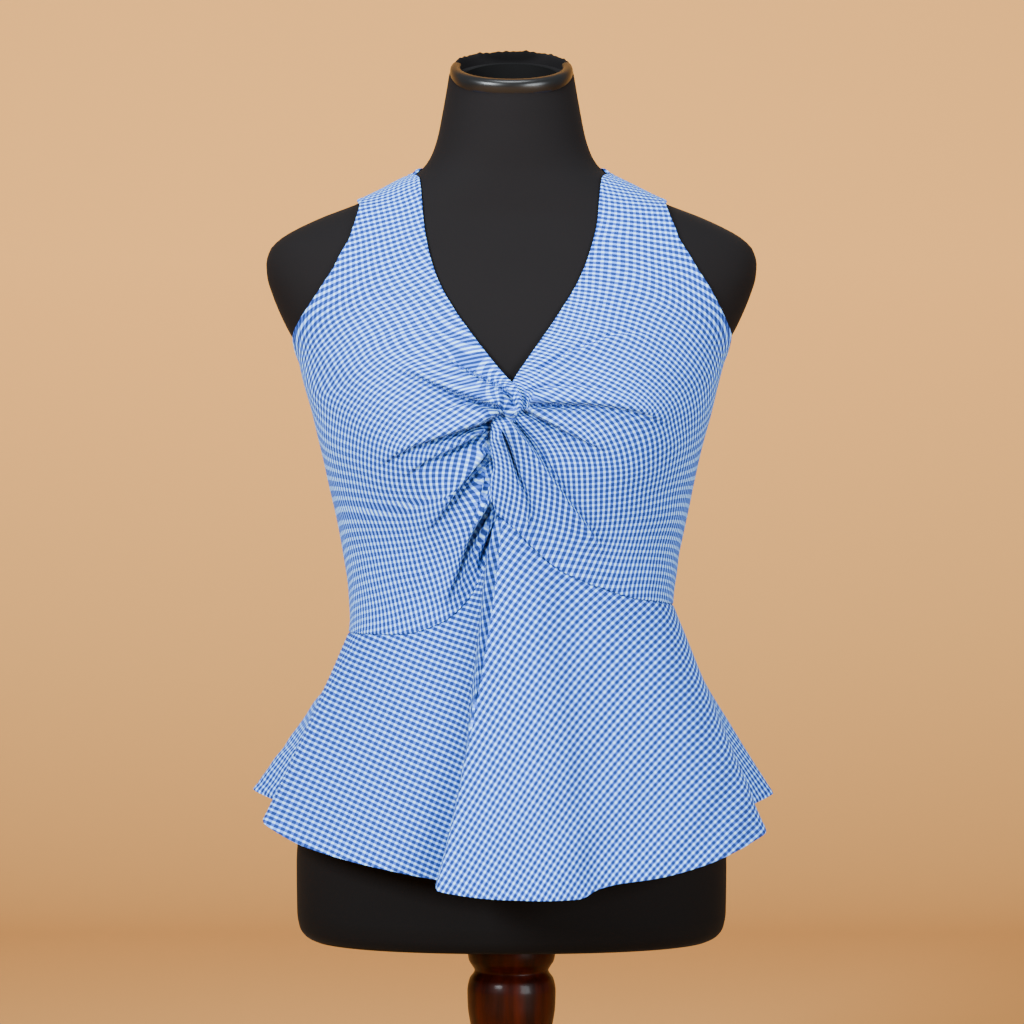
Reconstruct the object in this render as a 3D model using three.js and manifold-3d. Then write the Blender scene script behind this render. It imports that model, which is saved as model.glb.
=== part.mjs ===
// A halter-neck peplum top with a twisted front, on a limbless dress form with a turned wooden stand.
// Millimetres, +Z up, the front towards -Y, the origin at the centre of the stand's foot on the floor.
// A level is a height counted from DATUM, just under the twist. An angle is in degrees round the
// form's axis: 0 at the centre front, 90 at the wearer's left side (+X), 180 at the centre back.

import * as THREE from "three";
import Module from "manifold-3d";
import { mergeVertices } from "three/addons/utils/BufferGeometryUtils.js";

const wasm = await Module();
wasm.setup();

// Driving sizes
const FORM_UNDERSIDE = 226; // floor to the underside of the form
const DATUM = FORM_UNDERSIDE + 340;
const CLOTH = 1.2; // thickness of every cloth wall
const CLEARANCE = 1.8; // inside of the cloth to the form
const SEAM_GAP = 0.35; // between two pieces at a seam
const SIDE_SEAM = 98; // angle of the side seams
const NECK_TILT = 22; // the neck's top leans forwards by this many degrees
const DEGREE = Math.PI / 180;

// Small helpers
const rowsOf = (columns, rows) =>
  rows.map((row) => Object.fromEntries(columns.map((name, i) => [name, row[i]])));
const clamp = (value, low, high) => Math.min(high, Math.max(low, value));
const mix = (a, b, t) => a + (b - a) * t;
const smooth = (t) => {
  const s = clamp(t, 0, 1);
  return s * s * (3 - 2 * s);
};

// A curve through a table's rows that never overshoots them: value of `column` where `key` is `at`.
function along(rows, key, column, at) {
  const last = rows.length - 1;
  if (at <= rows[0][key]) return rows[0][column];
  if (at >= rows[last][key]) return rows[last][column];
  const i = rows.findIndex((row) => row[key] > at) - 1;
  const slope = (k) => (rows[k + 1][column] - rows[k][column]) / (rows[k + 1][key] - rows[k][key]);
  const tangent = (k) => {
    if (k === 0) return slope(0);
    if (k === last) return slope(last - 1);
    const [before, after] = [slope(k - 1), slope(k)];
    return before * after <= 0 ? 0 : (2 * before * after) / (before + after);
  };
  const width = rows[i + 1][key] - rows[i][key];
  const t = (at - rows[i][key]) / width;
  const [t2, t3] = [t * t, t * t * t];
  return (
    rows[i][column] * (2 * t3 - 3 * t2 + 1) +
    tangent(i) * width * (t3 - 2 * t2 + t) +
    rows[i + 1][column] * (3 * t2 - 2 * t3) +
    tangent(i + 1) * width * (t3 - t2)
  );
}

// The dress form: half width, depth to the front and to the back, and how square each section is
const FORM = rowsOf(
  ["level", "halfWidth", "front", "back", "squareness"],
  [
    [-340, 158, 97, 100, 2.3],
    [-337, 164, 104, 106, 2.3],
    [-330, 169, 109, 111, 2.3],
    [-318, 171, 111.5, 113.5, 2.3],
    [-280, 171.5, 112, 114, 2.3],
    [-240, 168, 110, 112, 2.3],
    [-200, 160, 105, 105, 2.3],
    [-150, 142, 94, 90, 2.25],
    [-110, 129, 85, 76, 2.2],
    [-80, 126, 84, 74, 2.2],
    [-40, 130, 88, 78, 2.2],
    [0, 137, 94, 85, 2.25],
    [40, 144.5, 100, 91, 2.3],
    [80, 155.5, 103, 95, 2.3],
    [110, 164, 101, 96, 2.3],
    [130, 170.5, 97, 95.5, 2.25],
    [150, 181, 91, 94, 2.2],
    [172, 190.5, 83.5, 89.5, 2.2],
    [188, 195.3, 77, 85.5, 2.2],
    [198, 196, 73, 83, 2.2],
    [209, 193, 68.5, 79.5, 2.2],
    [216, 187, 65.5, 77, 2.2],
    [222, 178.5, 63, 75, 2.2],
    [234, 154, 59, 72, 2.15],
    [246, 123, 57, 70, 2.1],
    [258, 98, 55, 67, 2.05],
    [270, 75.5, 53.5, 63, 2],
    [284, 64.5, 53, 56, 2],
    [300, 59, 52.5, 50, 2],
    [320, 55, 51.5, 47, 2],
    [334, 52.5, 51, 46.5, 2],
    [349, 50, 50, 46, 2],
  ],
);
const BUST = { level: 62, halfSpan: 76, depth: 27 };
const FORM_CURVE = { spread: 42, above: 58, below: 38 };
// The cloth bridges from one side of the bust to the other and falls straighter below it.
const CLOTH_CURVE = { spread: 60, above: 66, below: 64 };

const NECK = { foot: 262, top: 349 };
const leanAt = (level) =>
  Math.tan(NECK_TILT * DEGREE * smooth((level - NECK.foot) / (NECK.top - NECK.foot)));

// A point on the form, or on the smoother surface that the cloth follows
function torsoPoint(angle, level, curve) {
  const [s, c] = [Math.sin(angle * DEGREE), Math.cos(angle * DEGREE)];
  const value = (column) => along(FORM, "level", column, level);
  const depth = value(c > 0 ? "front" : "back");
  const power = value("squareness");
  const reach =
    ((Math.abs(s) / value("halfWidth")) ** power + (Math.abs(c) / depth) ** power) ** (-1 / power);
  const rise = (level - BUST.level) / (level > BUST.level ? curve.above : curve.below);
  const nearEach = [-1, 1]
    .map((side) => Math.exp(-(((reach * s - side * BUST.halfSpan) / curve.spread) ** 2)))
    .reduce((a, b) => a + b);
  const bump = BUST.depth * Math.exp(-rise * rise) * nearEach * Math.sqrt(Math.max(0, c));
  const [x, y] = [(reach + bump) * s, -(reach + bump) * c];
  return new THREE.Vector3(x, y, DATUM + level + y * leanAt(level));
}

// A point that lies `lift` off that surface, square to it
function offSurface(angle, level, lift, curve = CLOTH_CURVE) {
  const here = torsoPoint(angle, level, curve);
  const step = 0.5;
  const round = torsoPoint(angle + step, level, curve).sub(torsoPoint(angle - step, level, curve));
  const up = torsoPoint(angle, level + step, curve).sub(torsoPoint(angle, level - step, curve));
  return here.addScaledVector(round.cross(up).normalize(), lift);
}

// The angle at which the form is `across` from its middle, on the side that `across` is signed for
function angleAt(level, across) {
  let [low, high] = [0, 90];
  if (Math.abs(across) >= torsoPoint(90, level, CLOTH_CURVE).x) return 90 * Math.sign(across);
  for (let i = 0; i < 30; i++) {
    const middle = (low + high) / 2;
    if (torsoPoint(middle, level, CLOTH_CURVE).x < Math.abs(across)) low = middle;
    else high = middle;
  }
  return low * Math.sign(across);
}

// Closed meshes from rows of points
function meshOf(points, triangles) {
  const positions = new Float32Array(points.flatMap((p) => [p.x, p.y, p.z]));
  const geometry = new THREE.BufferGeometry();
  geometry.setAttribute("position", new THREE.BufferAttribute(positions, 3));
  let volume = 0;
  for (const [a, b, c] of triangles) {
    volume += points[a].dot(new THREE.Vector3().crossVectors(points[b], points[c]));
  }
  geometry.setIndex(triangles.flatMap(([a, b, c]) => (volume > 0 ? [a, b, c] : [a, c, b])));
  geometry.computeVertexNormals();
  return geometry;
}

// A wall between two grids of points of the same size, with its four edges closed
function wall(outer, inner) {
  const [rows, columns] = [outer.length, outer[0].length];
  const points = [...outer.flat(), ...inner.flat()];
  const at = (layer, i, j) => layer * rows * columns + i * columns + j;
  const triangles = [];
  const quad = (a, b, c, d) => triangles.push([a, b, c], [a, c, d]);
  for (let i = 0; i + 1 < rows; i++) {
    for (let j = 0; j + 1 < columns; j++) {
      quad(at(0, i, j), at(0, i, j + 1), at(0, i + 1, j + 1), at(0, i + 1, j));
      quad(at(1, i, j), at(1, i + 1, j), at(1, i + 1, j + 1), at(1, i, j + 1));
    }
  }
  for (let j = 0; j + 1 < columns; j++) {
    quad(at(0, 0, j), at(1, 0, j), at(1, 0, j + 1), at(0, 0, j + 1));
    quad(at(0, rows - 1, j), at(0, rows - 1, j + 1), at(1, rows - 1, j + 1), at(1, rows - 1, j));
  }
  for (let i = 0; i + 1 < rows; i++) {
    quad(at(0, i, 0), at(0, i + 1, 0), at(1, i + 1, 0), at(1, i, 0));
    quad(at(0, i, columns - 1), at(1, i, columns - 1), at(1, i + 1, columns - 1), at(0, i + 1, columns - 1));
  }
  return meshOf(points, triangles);
}

// A skin over rings of points, closed by a point at each end
function skin(start, rings, end) {
  const size = rings[0].length;
  const points = [start, ...rings.flat(), end];
  const at = (ring, k) => 1 + ring * size + (k % size);
  const triangles = [];
  for (let k = 0; k < size; k++) {
    triangles.push([0, at(0, k + 1), at(0, k)]);
    triangles.push([points.length - 1, at(rings.length - 1, k), at(rings.length - 1, k + 1)]);
    for (let i = 0; i + 1 < rings.length; i++) {
      triangles.push([at(i, k), at(i, k + 1), at(i + 1, k + 1)], [at(i, k), at(i + 1, k + 1), at(i + 1, k)]);
    }
  }
  return meshOf(points, triangles);
}

// A cloth wall that follows the form, from a grid of angles, levels and lifts
function clothOnForm(places) {
  const face = (height) =>
    places.map((row) =>
      row.map(({ angle, level, lift = 0 }) => offSurface(angle, level, CLEARANCE + height + lift)),
    );
  return wall(face(CLOTH), face(0));
}

// A cloth wall that hangs free, from the points of its outer face
function hangingCloth(outer) {
  const at = (i, j) => outer[clamp(i, 0, outer.length - 1)][clamp(j, 0, outer[0].length - 1)];
  const inner = outer.map((row, i) =>
    row.map((point, j) => {
      const right = at(i, j + 1).clone().sub(at(i, j - 1));
      const up = at(i + 1, j).clone().sub(at(i - 1, j));
      return point.clone().addScaledVector(right.cross(up).normalize(), -CLOTH);
    }),
  );
  return wall(outer, inner);
}

const spaced = (count) => Array.from({ length: count + 1 }, (_, i) => i / count);

// Two closed meshes made into one
function joined(first, second) {
  const solid = (geometry) => {
    const bare = new THREE.BufferGeometry();
    bare.setAttribute("position", geometry.getAttribute("position"));
    bare.setIndex(geometry.getIndex());
    const merged = mergeVertices(bare, 1e-4);
    const vertProperties = new Float32Array(merged.getAttribute("position").array);
    const triVerts = new Uint32Array(merged.getIndex().array);
    return new wasm.Manifold(new wasm.Mesh({ numProp: 3, vertProperties, triVerts }));
  };
  const { vertProperties, triVerts } = solid(first).add(solid(second)).getMesh();
  const geometry = new THREE.BufferGeometry();
  geometry.setAttribute("position", new THREE.BufferAttribute(vertProperties, 3));
  geometry.setIndex(new THREE.BufferAttribute(triVerts, 1));
  geometry.computeVertexNormals();
  return geometry;
}

// The bodice's edges. `across` is signed towards the panel's own side, `past` is beyond the side line.
const MEETING_ANGLE = -6.5; // where the halves of the front meet on the waist seam
const FRONT_EDGE = rowsOf(
  ["level", "across"],
  [
    [-3, 11],
    [20, 15],
    [48, 17],
    [72, 16],
    [85, 9],
    [96, 3],
    [104, 0],
  ],
);
// The wearer's right and left edges of the neckline, as distances from the middle
const NECKLINE = rowsOf(
  ["level", "right", "left"],
  [
    [104, 0, 0],
    [109, 5, 3.5],
    [133, 27, 22.5],
    [157, 45, 39.5],
    [181, 57.5, 53],
    [204, 64.5, 61.5],
    [227, 68.5, 67],
    [245, 70, 68.5],
    [262, 72, 70.5],
    [273, 90, 90],
  ],
);
// The wearer's right and left armholes, as angles round the form
const ARMHOLE = rowsOf(
  ["level", "right", "left"],
  [
    [72, 98, 98],
    [96, 97, 97],
    [108, 95, 95],
    [118, 92, 92],
    [126, 88, 88.5],
    [138, 82, 83],
    [150, 75.8, 76.8],
    [162, 71.8, 73.3],
    [174, 69.3, 71.1],
    [192, 67.4, 69],
    [210, 67.2, 68.4],
    [222, 68.7, 69.8],
    [234, 72, 73],
    [241, 76, 77],
    [248, 90, 90],
  ],
);
// The seam between the bodice and the peplum, all round
const WAIST_SEAM = rowsOf(
  ["angle", "level"],
  [
    [-SIDE_SEAM, -96],
    [-75, -96],
    [-53, -94],
    [-35, -79],
    [-21, -60],
    [-13, -37],
    [-6.5, -3],
    [0, -10],
    [9, -25],
    [24, -45],
    [43, -59],
    [60, -68],
    [SIDE_SEAM, -75],
    [360 - SIDE_SEAM, -96],
  ],
);
const seamLevel = (angle) => along(WAIST_SEAM, "angle", "level", angle);
// How far the peplum starts below the seam to keep the same gap where the seam is steep
function seamDrop(angle) {
  const step = 0.5;
  const radius = -torsoPoint(0, seamLevel(0), CLOTH_CURVE).y;
  const slope = (seamLevel(angle + step) - seamLevel(angle - step)) / (2 * step * DEGREE * radius);
  return SEAM_GAP * Math.hypot(1, slope);
}

// The largest folds of the front, as arcs in the front view that run from the twist outwards.
// `height` is how far the cloth stands off there, and `width` how wide the fold is.
const FRONT_FOLDS = rowsOf(
  ["side", "fromX", "fromLevel", "viaX", "viaLevel", "toX", "toLevel", "height", "width"],
  [
    [-1, -8, 84, -36, 98, -88, 112, 5, 9],
    [-1, -12, 76, -44, 66, -98, 46, 6, 10],
    [-1, -20, 60, -44, 44, -84, 24, 4, 9],
    [-1, -22, 42, -48, 22, -70, -30, 6, 10],
    [-1, -17, 4, -34, -20, -44, -62, 5, 7],
    [1, 10, 90, 60, 96, 104, 84, 4, 10],
    [1, 12, 84, 48, 80, 112, 62, 5, 9],
    [1, 10, 72, 40, 60, 74, 44, 4, 9],
    [1, 6, 66, 34, 28, 62, -36, 5, 9],
    [1, -7, 62, 2, 34, 10, -16, 5, 8],
    [1, 22, 114, 54, 132, 92, 140, 4, 10],
  ],
);
const FOLD_STEPS = 24;

// The points of one fold's arc, with how far along it each is
const foldLine = (fold) =>
  spaced(FOLD_STEPS).map((t) => ({
    t,
    x: (1 - t) ** 2 * fold.fromX + 2 * t * (1 - t) * fold.viaX + t * t * fold.toX,
    level: (1 - t) ** 2 * fold.fromLevel + 2 * t * (1 - t) * fold.viaLevel + t * t * fold.toLevel,
  }));
const FOLD_LINES = FRONT_FOLDS.map((fold) => ({ ...fold, line: foldLine(fold) }));

// How far the folds of one side lift the cloth at a place in the front view
function foldLift(side, x, level) {
  let lift = 0;
  for (const fold of FOLD_LINES.filter((each) => each.side === side)) {
    let nearest = { away: Infinity, t: 0 };
    for (const point of fold.line) {
      const away = Math.hypot(point.x - x, point.level - level);
      if (away < nearest.away) nearest = { away, t: point.t };
    }
    const fade = (1 - nearest.t) ** 0.6 * smooth(nearest.t / 0.15);
    lift += fold.height * fade * Math.exp(-((nearest.away / fold.width) ** 2));
  }
  return lift;
}

// The peplum: each row is a line of cloth from the waist seam to a place on the hem. `bow` bends
// that line: over 1 it stays near the form and flares late, under 1 it flares early.
const PEPLUM_COLUMNS = ["angle", "hemX", "hemY", "hemLevel", "bow"];
const PEPLUM_FRONT = rowsOf(PEPLUM_COLUMNS, [
  [-SIDE_SEAM, -178, -2, -235, 0.95],
  [-90, -189, -30, -239, 1],
  [-80, -194, -62, -241, 1],
  [-66, -166, -100, -254, 1],
  [-50, -130, -127, -263, 1],
  [-36, -95, -142, -270, 0.95],
  [-24, -66, -148, -275, 0.9],
  [-14, -49, -148, -278, 0.85],
  [-10, -42, -152, -279, 0.8],
  [-8, -40, -162, -279, 0.85],
  [-6.5, -46, -173, -278.5, 1.1],
  [-5, -56, -184, -278, 1.4],
  [-4, -55, -192, -279.5, 1.4],
  [-1, -36, -199, -282.5, 1.25],
  [5, -8, -203, -285, 1.1],
  [12, 24, -201, -286, 1],
  [18, 50, -191, -286, 1],
  [24, 64, -176, -281, 1],
  [31, 78, -167, -278, 1],
  [43, 110, -153, -275, 1],
  [57, 150, -128, -267, 1],
  [70, 183, -92, -256, 1],
  [81, 199, -58, -249, 1],
  [90, 193, -28, -245, 1],
  [SIDE_SEAM, 179, -2, -240, 0.95],
]);
const PEPLUM_BACK = rowsOf(PEPLUM_COLUMNS, [
  [SIDE_SEAM + 0.2, 179, 1, -240, 0.95],
  [101, 201, 30, -234, 1],
  [106, 214, 60, -230, 1],
  [117, 194, 106, -236, 1],
  [130, 150, 136, -243, 1],
  [143, 112, 146, -247, 1],
  [157, 74, 168, -250, 1],
  [168, 34, 178, -252, 1],
  [180, -4, 168, -252, 1],
  [192, -42, 178, -251, 1],
  [204, -84, 167, -248, 1],
  [217, -124, 144, -243, 1],
  [231, -172, 120, -235, 1],
  [252, -211.5, 60, -226.5, 1],
  [258, -199, 30, -230, 1],
  [360 - SIDE_SEAM - 0.2, -178, 1, -235, 0.95],
]);
const COLUMNS_A_ROW = 2; // columns of the wall for each row of a table
// The rows of a table with as many more between them, so that the bodice can end on the same ones
function columnsOf(table) {
  const rows = table.map((row, index) => ({ ...row, index }));
  const last = rows.length - 1;
  return spaced(last * COLUMNS_A_ROW).map((u) =>
    Object.fromEntries(PEPLUM_COLUMNS.map((name) => [name, along(rows, "index", name, u * last)])),
  );
}

// One half of the front, from the waist seam up to the shoulder line; side is -1 or 1
const FRONT_UP = 28;
const CLOSER_UP = 1.45; // over 1 brings the rows closer together towards the shoulder
const SEAM_FADE = 0.1; // the folds die away over this share of the height above the waist seam
function frontPanel(side) {
  const half = side < 0 ? "right" : "left";
  const centreSign = side < 0 ? 1 : -1; // the meeting edge lies on the wearer's right, for both halves
  const bottomLevel = FRONT_EDGE[0].level;
  const topLevel = NECKLINE[NECKLINE.length - 1].level;
  const seamSide = seamLevel(side * SIDE_SEAM);
  const innerEdge = (v) => {
    const level = mix(bottomLevel, topLevel, v);
    const onNeck = level > NECKLINE[0].level;
    const across = onNeck
      ? along(NECKLINE, "level", half, level)
      : centreSign * along(FRONT_EDGE, "level", "across", level);
    const gap = SEAM_GAP / 2 / -torsoPoint(0, level, CLOTH_CURVE).y / DEGREE;
    const angle = v === 0 ? side * MEETING_ANGLE : angleAt(level, across);
    return { level, angle: angle + (onNeck ? 0 : gap) };
  };
  const outerEdge = (v) => {
    const level = mix(seamSide, ARMHOLE[ARMHOLE.length - 1].level, v);
    return { level, angle: along(ARMHOLE, "level", half, level) };
  };
  const bottomEdge = (u) => {
    const angle = mix(SIDE_SEAM, innerEdge(0).angle, u);
    return { angle, level: seamLevel(side * angle) };
  };
  const topEdge = (u) => ({
    angle: 90,
    level: mix(outerEdge(1).level, topLevel, u),
  });
  const columns = columnsOf(PEPLUM_FRONT)
    .map((column) => side * column.angle)
    .filter((angle) => angle > side * MEETING_ANGLE - 0.1)
    .sort((a, b) => b - a)
    .map((angle) => (SIDE_SEAM - angle) / (SIDE_SEAM - side * MEETING_ANGLE));
  const place = (u, v, key) => {
    const sides = mix(outerEdge(v)[key], innerEdge(v)[key], u);
    const ends = mix(bottomEdge(u)[key], topEdge(u)[key], v);
    const corners = mix(
      mix(bottomEdge(0)[key], bottomEdge(1)[key], u),
      mix(topEdge(0)[key], topEdge(1)[key], u),
      v,
    );
    return sides + ends - corners;
  };
  return clothOnForm(
    spaced(FRONT_UP).map((s) =>
      columns.map((u) => {
        const v = 1 - (1 - s) ** CLOSER_UP;
        const [angle, level] = [side * place(u, v, "angle"), place(u, v, "level")];
        const folds = foldLift(side, torsoPoint(angle, level, CLOTH_CURVE).x, level);
        return { angle, level, lift: folds * smooth(v / SEAM_FADE) };
      }),
    ),
  );
}

// The roll of cloth where the wearer's right half crosses over the other one
const TWIST = rowsOf(
  ["x", "level", "lift", "halfWidth", "halfThickness"],
  [
    [-52, 98, 2.4, 5, 1],
    [-40, 100, 3.6, 8, 2.2],
    [-28, 99, 5.6, 10, 3.2],
    [-16, 96, 8.2, 10.5, 3.8],
    [-5, 90, 11, 10, 4.2],
    [4, 83, 12, 9, 4.2],
    [10, 77, 11, 7, 3.2],
    [14, 72, 9.6, 4, 2],
  ],
);
const TWIST_SIDES = 12;
function twistRoll() {
  const centres = TWIST.map((row) => offSurface(angleAt(row.level, row.x), row.level, row.lift));
  const rings = TWIST.map((row, i) => {
    const ahead = centres[Math.min(i + 1, centres.length - 1)];
    const behind = centres[Math.max(i - 1, 0)];
    const out = offSurface(angleAt(row.level, row.x), row.level, row.lift + 1).sub(centres[i]);
    const sideways = ahead.clone().sub(behind).cross(out).normalize();
    return spaced(TWIST_SIDES)
      .slice(0, TWIST_SIDES)
      .map((t) =>
        centres[i]
          .clone()
          .addScaledVector(sideways, row.halfWidth * Math.cos(2 * Math.PI * t))
          .addScaledVector(out, row.halfThickness * Math.sin(2 * Math.PI * t)),
      );
  });
  return skin(centres[0], rings, centres[centres.length - 1]);
}

// The back bodice, from one side seam to the other
const BACK_TOP = rowsOf(
  ["angle", "level"],
  [
    [SIDE_SEAM, 72],
    [130, 69],
    [180, 66],
    [230, 69],
    [360 - SIDE_SEAM, 72],
  ],
);
const BACK_ACROSS = 24;
const BACK_UP = 9;
function backBodice() {
  const gap = SEAM_GAP / torsoPoint(SIDE_SEAM, 0, CLOTH_CURVE).x / DEGREE;
  return clothOnForm(
    spaced(BACK_UP).map((v) =>
      spaced(BACK_ACROSS).map((u) => {
        const angle = mix(SIDE_SEAM + gap, 360 - SIDE_SEAM - gap, u);
        return { angle, level: mix(seamLevel(angle), along(BACK_TOP, "angle", "level", angle), v) };
      }),
    ),
  );
}

// The band round the back of the neck, from one shoulder line to the other
const NECK_BAND = rowsOf(
  ["angle", "low", "high"],
  [
    [90, 248, 273],
    [110, 245, 276],
    [130, 245, 280],
    [155, 250, 284],
    [180, 252, 285],
    [205, 250, 284],
    [230, 245, 280],
    [250, 245, 276],
    [270, 248, 273],
  ],
);
const BAND_ROUND = 26;
const BAND_UP = 4;
function neckBand() {
  const gap = SEAM_GAP / 60 / DEGREE;
  return clothOnForm(
    spaced(BAND_UP).map((v) =>
      spaced(BAND_ROUND).map((u) => {
        const angle = mix(90 + gap, 270 - gap, u);
        const [low, high] = ["low", "high"].map((edge) => along(NECK_BAND, "angle", edge, angle));
        return { angle, level: mix(low, high, v) };
      }),
    ),
  );
}

// The peplum, between the seam and the hem, over one table's stretch of the seam
const PEPLUM_DOWN = 11;
function peplum(table) {
  const columns = columnsOf(table);
  const outer = spaced(PEPLUM_DOWN).map((v) =>
    columns.map(({ angle, hemX, hemY, hemLevel, bow }) => {
      const from = offSurface(angle, seamLevel(angle) - seamDrop(angle), CLEARANCE + CLOTH);
      const out = (1 - v) ** bow;
      return new THREE.Vector3(
        mix(from.x, hemX, out),
        mix(from.y, hemY, out),
        mix(from.z, DATUM + hemLevel, 1 - v),
      );
    }),
  );
  return hangingCloth(outer);
}

// The dress form: up its outside, over the neck's rim and down into the neck's open well
const FORM_ROUND = 36;
const FORM_LEVELS = [
  -340, -337, -330, -318, -275, -240, -205, -170, -140, -110, -80, -50, -20, 10, 35, 60, 85, 110, 134, 155,
  172, 186, 198, 207, 215, 222, 230, 238, 246, 256, 267, 280, 296, 315, 334, 349,
];
const WELL = { radius: 38, middleY: -2, depth: 75 };
function dressForm() {
  const turns = spaced(FORM_ROUND).slice(0, FORM_ROUND);
  const outside = FORM_LEVELS.map((level) => turns.map((t) => torsoPoint(t * 360, level, FORM_CURVE)));
  const inWell = (radius, turn, depth) => {
    const y = WELL.middleY - radius * Math.cos(turn * 2 * Math.PI);
    const z = DATUM + NECK.top - depth + y * leanAt(NECK.top);
    return new THREE.Vector3(radius * Math.sin(turn * 2 * Math.PI), y, z);
  };
  const well = [0, WELL.depth / 2, WELL.depth].map((depth) => turns.map((t) => inWell(WELL.radius, t, depth)));
  return skin(new THREE.Vector3(0, 0, FORM_UNDERSIDE), [...outside, ...well], inWell(0, 0, WELL.depth));
}

// The moulded ring that trims the neck's rim
const RING = { outer: 49, inner: 40, height: 8.5, edge: 3 };
function neckRing() {
  const { outer, inner, height, edge } = RING;
  const corner = (radius, level) => new THREE.Vector2(radius, level);
  const profile = [
    corner(inner + edge / 2, 0),
    corner(outer - edge / 2, 0),
    corner(outer, edge),
    corner(outer - edge * 0.2, height - edge * 0.7),
    corner(outer - edge, height),
    corner(inner + edge, height),
    corner(inner + edge * 0.2, height - edge * 0.7),
    corner(inner, edge),
    corner(inner + edge / 2, 0),
  ];
  return new THREE.LatheGeometry(profile, 32).rotateX(Math.PI / 2);
}

// The turned post and the round foot, as radius and height above the floor
const FOOT_HEIGHT = 26;
const POST_PROFILE = [
  [0, FOOT_HEIGHT + SEAM_GAP],
  [40, FOOT_HEIGHT + SEAM_GAP],
  [42, 30],
  [41, 35],
  [35, 39],
  [25, 44],
  [20, 52],
  [19, 60],
  [24, 63],
  [26, 67],
  [24, 71],
  [18.5, 74],
  [18, 84],
  [21, 104],
  [27, 130],
  [32.5, 155],
  [35, 172],
  [35.3, 184],
  [33.6, 193],
  [30, 198.5],
  [29.5, 200],
  [31, 203],
  [34, 208],
  [35, 214],
  [34.6, 221],
  [33.5, FORM_UNDERSIDE - SEAM_GAP],
  [0, FORM_UNDERSIDE - SEAM_GAP],
];
const FOOT_PROFILE = [
  [0, 0],
  [146, 0],
  [149, 3],
  [150, 8],
  [148, 13],
  [142, 16],
  [139, 18],
  [137, 22],
  [130, 25],
  [118, FOOT_HEIGHT],
  [0, FOOT_HEIGHT],
];
const turned = (profile, segments) =>
  new THREE.LatheGeometry(
    profile.map(([radius, height]) => new THREE.Vector2(radius, height)),
    segments,
  ).rotateX(Math.PI / 2);

const material = (color, roughness) => new THREE.MeshStandardMaterial({ color, roughness, metalness: 0 });
const GINGHAM = material(0x8facd9, 0.85);
const BLACK_JERSEY = material(0x1c1b1d, 0.8);
const BLACK_PLASTIC = material(0x161616, 0.35);
const DARK_WOOD = material(0x3f1503, 0.3);

const top = new THREE.Group();
function add(name, geometry, finish) {
  const mesh = new THREE.Mesh(geometry, finish);
  mesh.name = name;
  top.add(mesh);
  return mesh;
}

add("front_right", joined(frontPanel(-1), twistRoll()), GINGHAM);
add("front_left", frontPanel(1), GINGHAM);
add("back_bodice", backBodice(), GINGHAM);
add("neck_band", neckBand(), GINGHAM);
add("peplum_front", peplum(PEPLUM_FRONT), GINGHAM);
add("peplum_back", peplum(PEPLUM_BACK), GINGHAM);
add("dress_form", dressForm(), BLACK_JERSEY);
const ring = add("neck_ring", neckRing(), BLACK_PLASTIC);
ring.rotation.x = NECK_TILT * DEGREE;
ring.position.set(0, WELL.middleY, DATUM + NECK.top + 2 * SEAM_GAP + WELL.middleY * leanAt(NECK.top));
add("stand_post", turned(POST_PROFILE, 24), DARK_WOOD);
add("stand_foot", turned(FOOT_PROFILE, 40), DARK_WOOD);

export default top;
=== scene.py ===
"""A halter-neck peplum top with a twisted front, on a limbless dress form with a turned stand.

The tables are in millimetres, as the solids' sizes are, and every mesh is made in metres over the
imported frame. A level is a height above DATUM, just under the twist. An angle is in degrees round
the form: 0 at the centre front, 90 at the wearer's left side (+X), 180 at the centre back.
"""

from __future__ import annotations

import logging
import math
from dataclasses import dataclass
from enum import Enum
from typing import Iterable, Sequence

import bpy
import numpy as np
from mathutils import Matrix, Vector

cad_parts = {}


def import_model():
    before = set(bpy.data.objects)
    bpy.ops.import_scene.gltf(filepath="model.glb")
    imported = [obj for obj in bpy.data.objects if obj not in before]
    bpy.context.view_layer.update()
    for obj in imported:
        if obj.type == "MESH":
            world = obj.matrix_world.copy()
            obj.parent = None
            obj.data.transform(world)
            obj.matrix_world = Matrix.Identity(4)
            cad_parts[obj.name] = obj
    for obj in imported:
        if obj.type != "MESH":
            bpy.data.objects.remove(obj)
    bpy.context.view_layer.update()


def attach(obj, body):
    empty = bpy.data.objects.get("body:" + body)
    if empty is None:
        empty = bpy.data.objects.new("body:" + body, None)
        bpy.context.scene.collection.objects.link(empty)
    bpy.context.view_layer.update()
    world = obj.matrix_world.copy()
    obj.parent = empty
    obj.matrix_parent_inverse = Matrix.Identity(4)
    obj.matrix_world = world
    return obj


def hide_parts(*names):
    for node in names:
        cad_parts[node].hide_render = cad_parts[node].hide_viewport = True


log = logging.getLogger("halter_top")

Array = np.ndarray

DATUM = 566.0
CLOTH = 1.2
CLEARANCE = 1.8  # of the cloth's inner face over the figure that it follows
SEAM_GAP = 0.35
SIDE_SEAM = 98.0
MEETING_ANGLE = -6.5  # where the two halves of the front end at the waist seam
VIEW_DISTANCE = 2500.0
FACING = 0.3  # cloth that faces the view by less than this share has its check laid as it hangs
TUCKED_UNDER = 0.35  # how far a seam allowance lies under the lining that it runs on from
TUCKED_CLOTH = 0.8  # and how thick it is pressed
TUCKED_ROWS = (4.4, 2.9, 1.5, 0.15)  # how far each row of an allowance reaches, the last one first
SHARP_ANGLE = 62.0  # edges that turn by more than this, in degrees, look sharp
PIXEL = 0.8  # the millimetres that one step of the photograph covers at the form's middle
PIXEL_MIDDLE = (511.5, 512)


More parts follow.
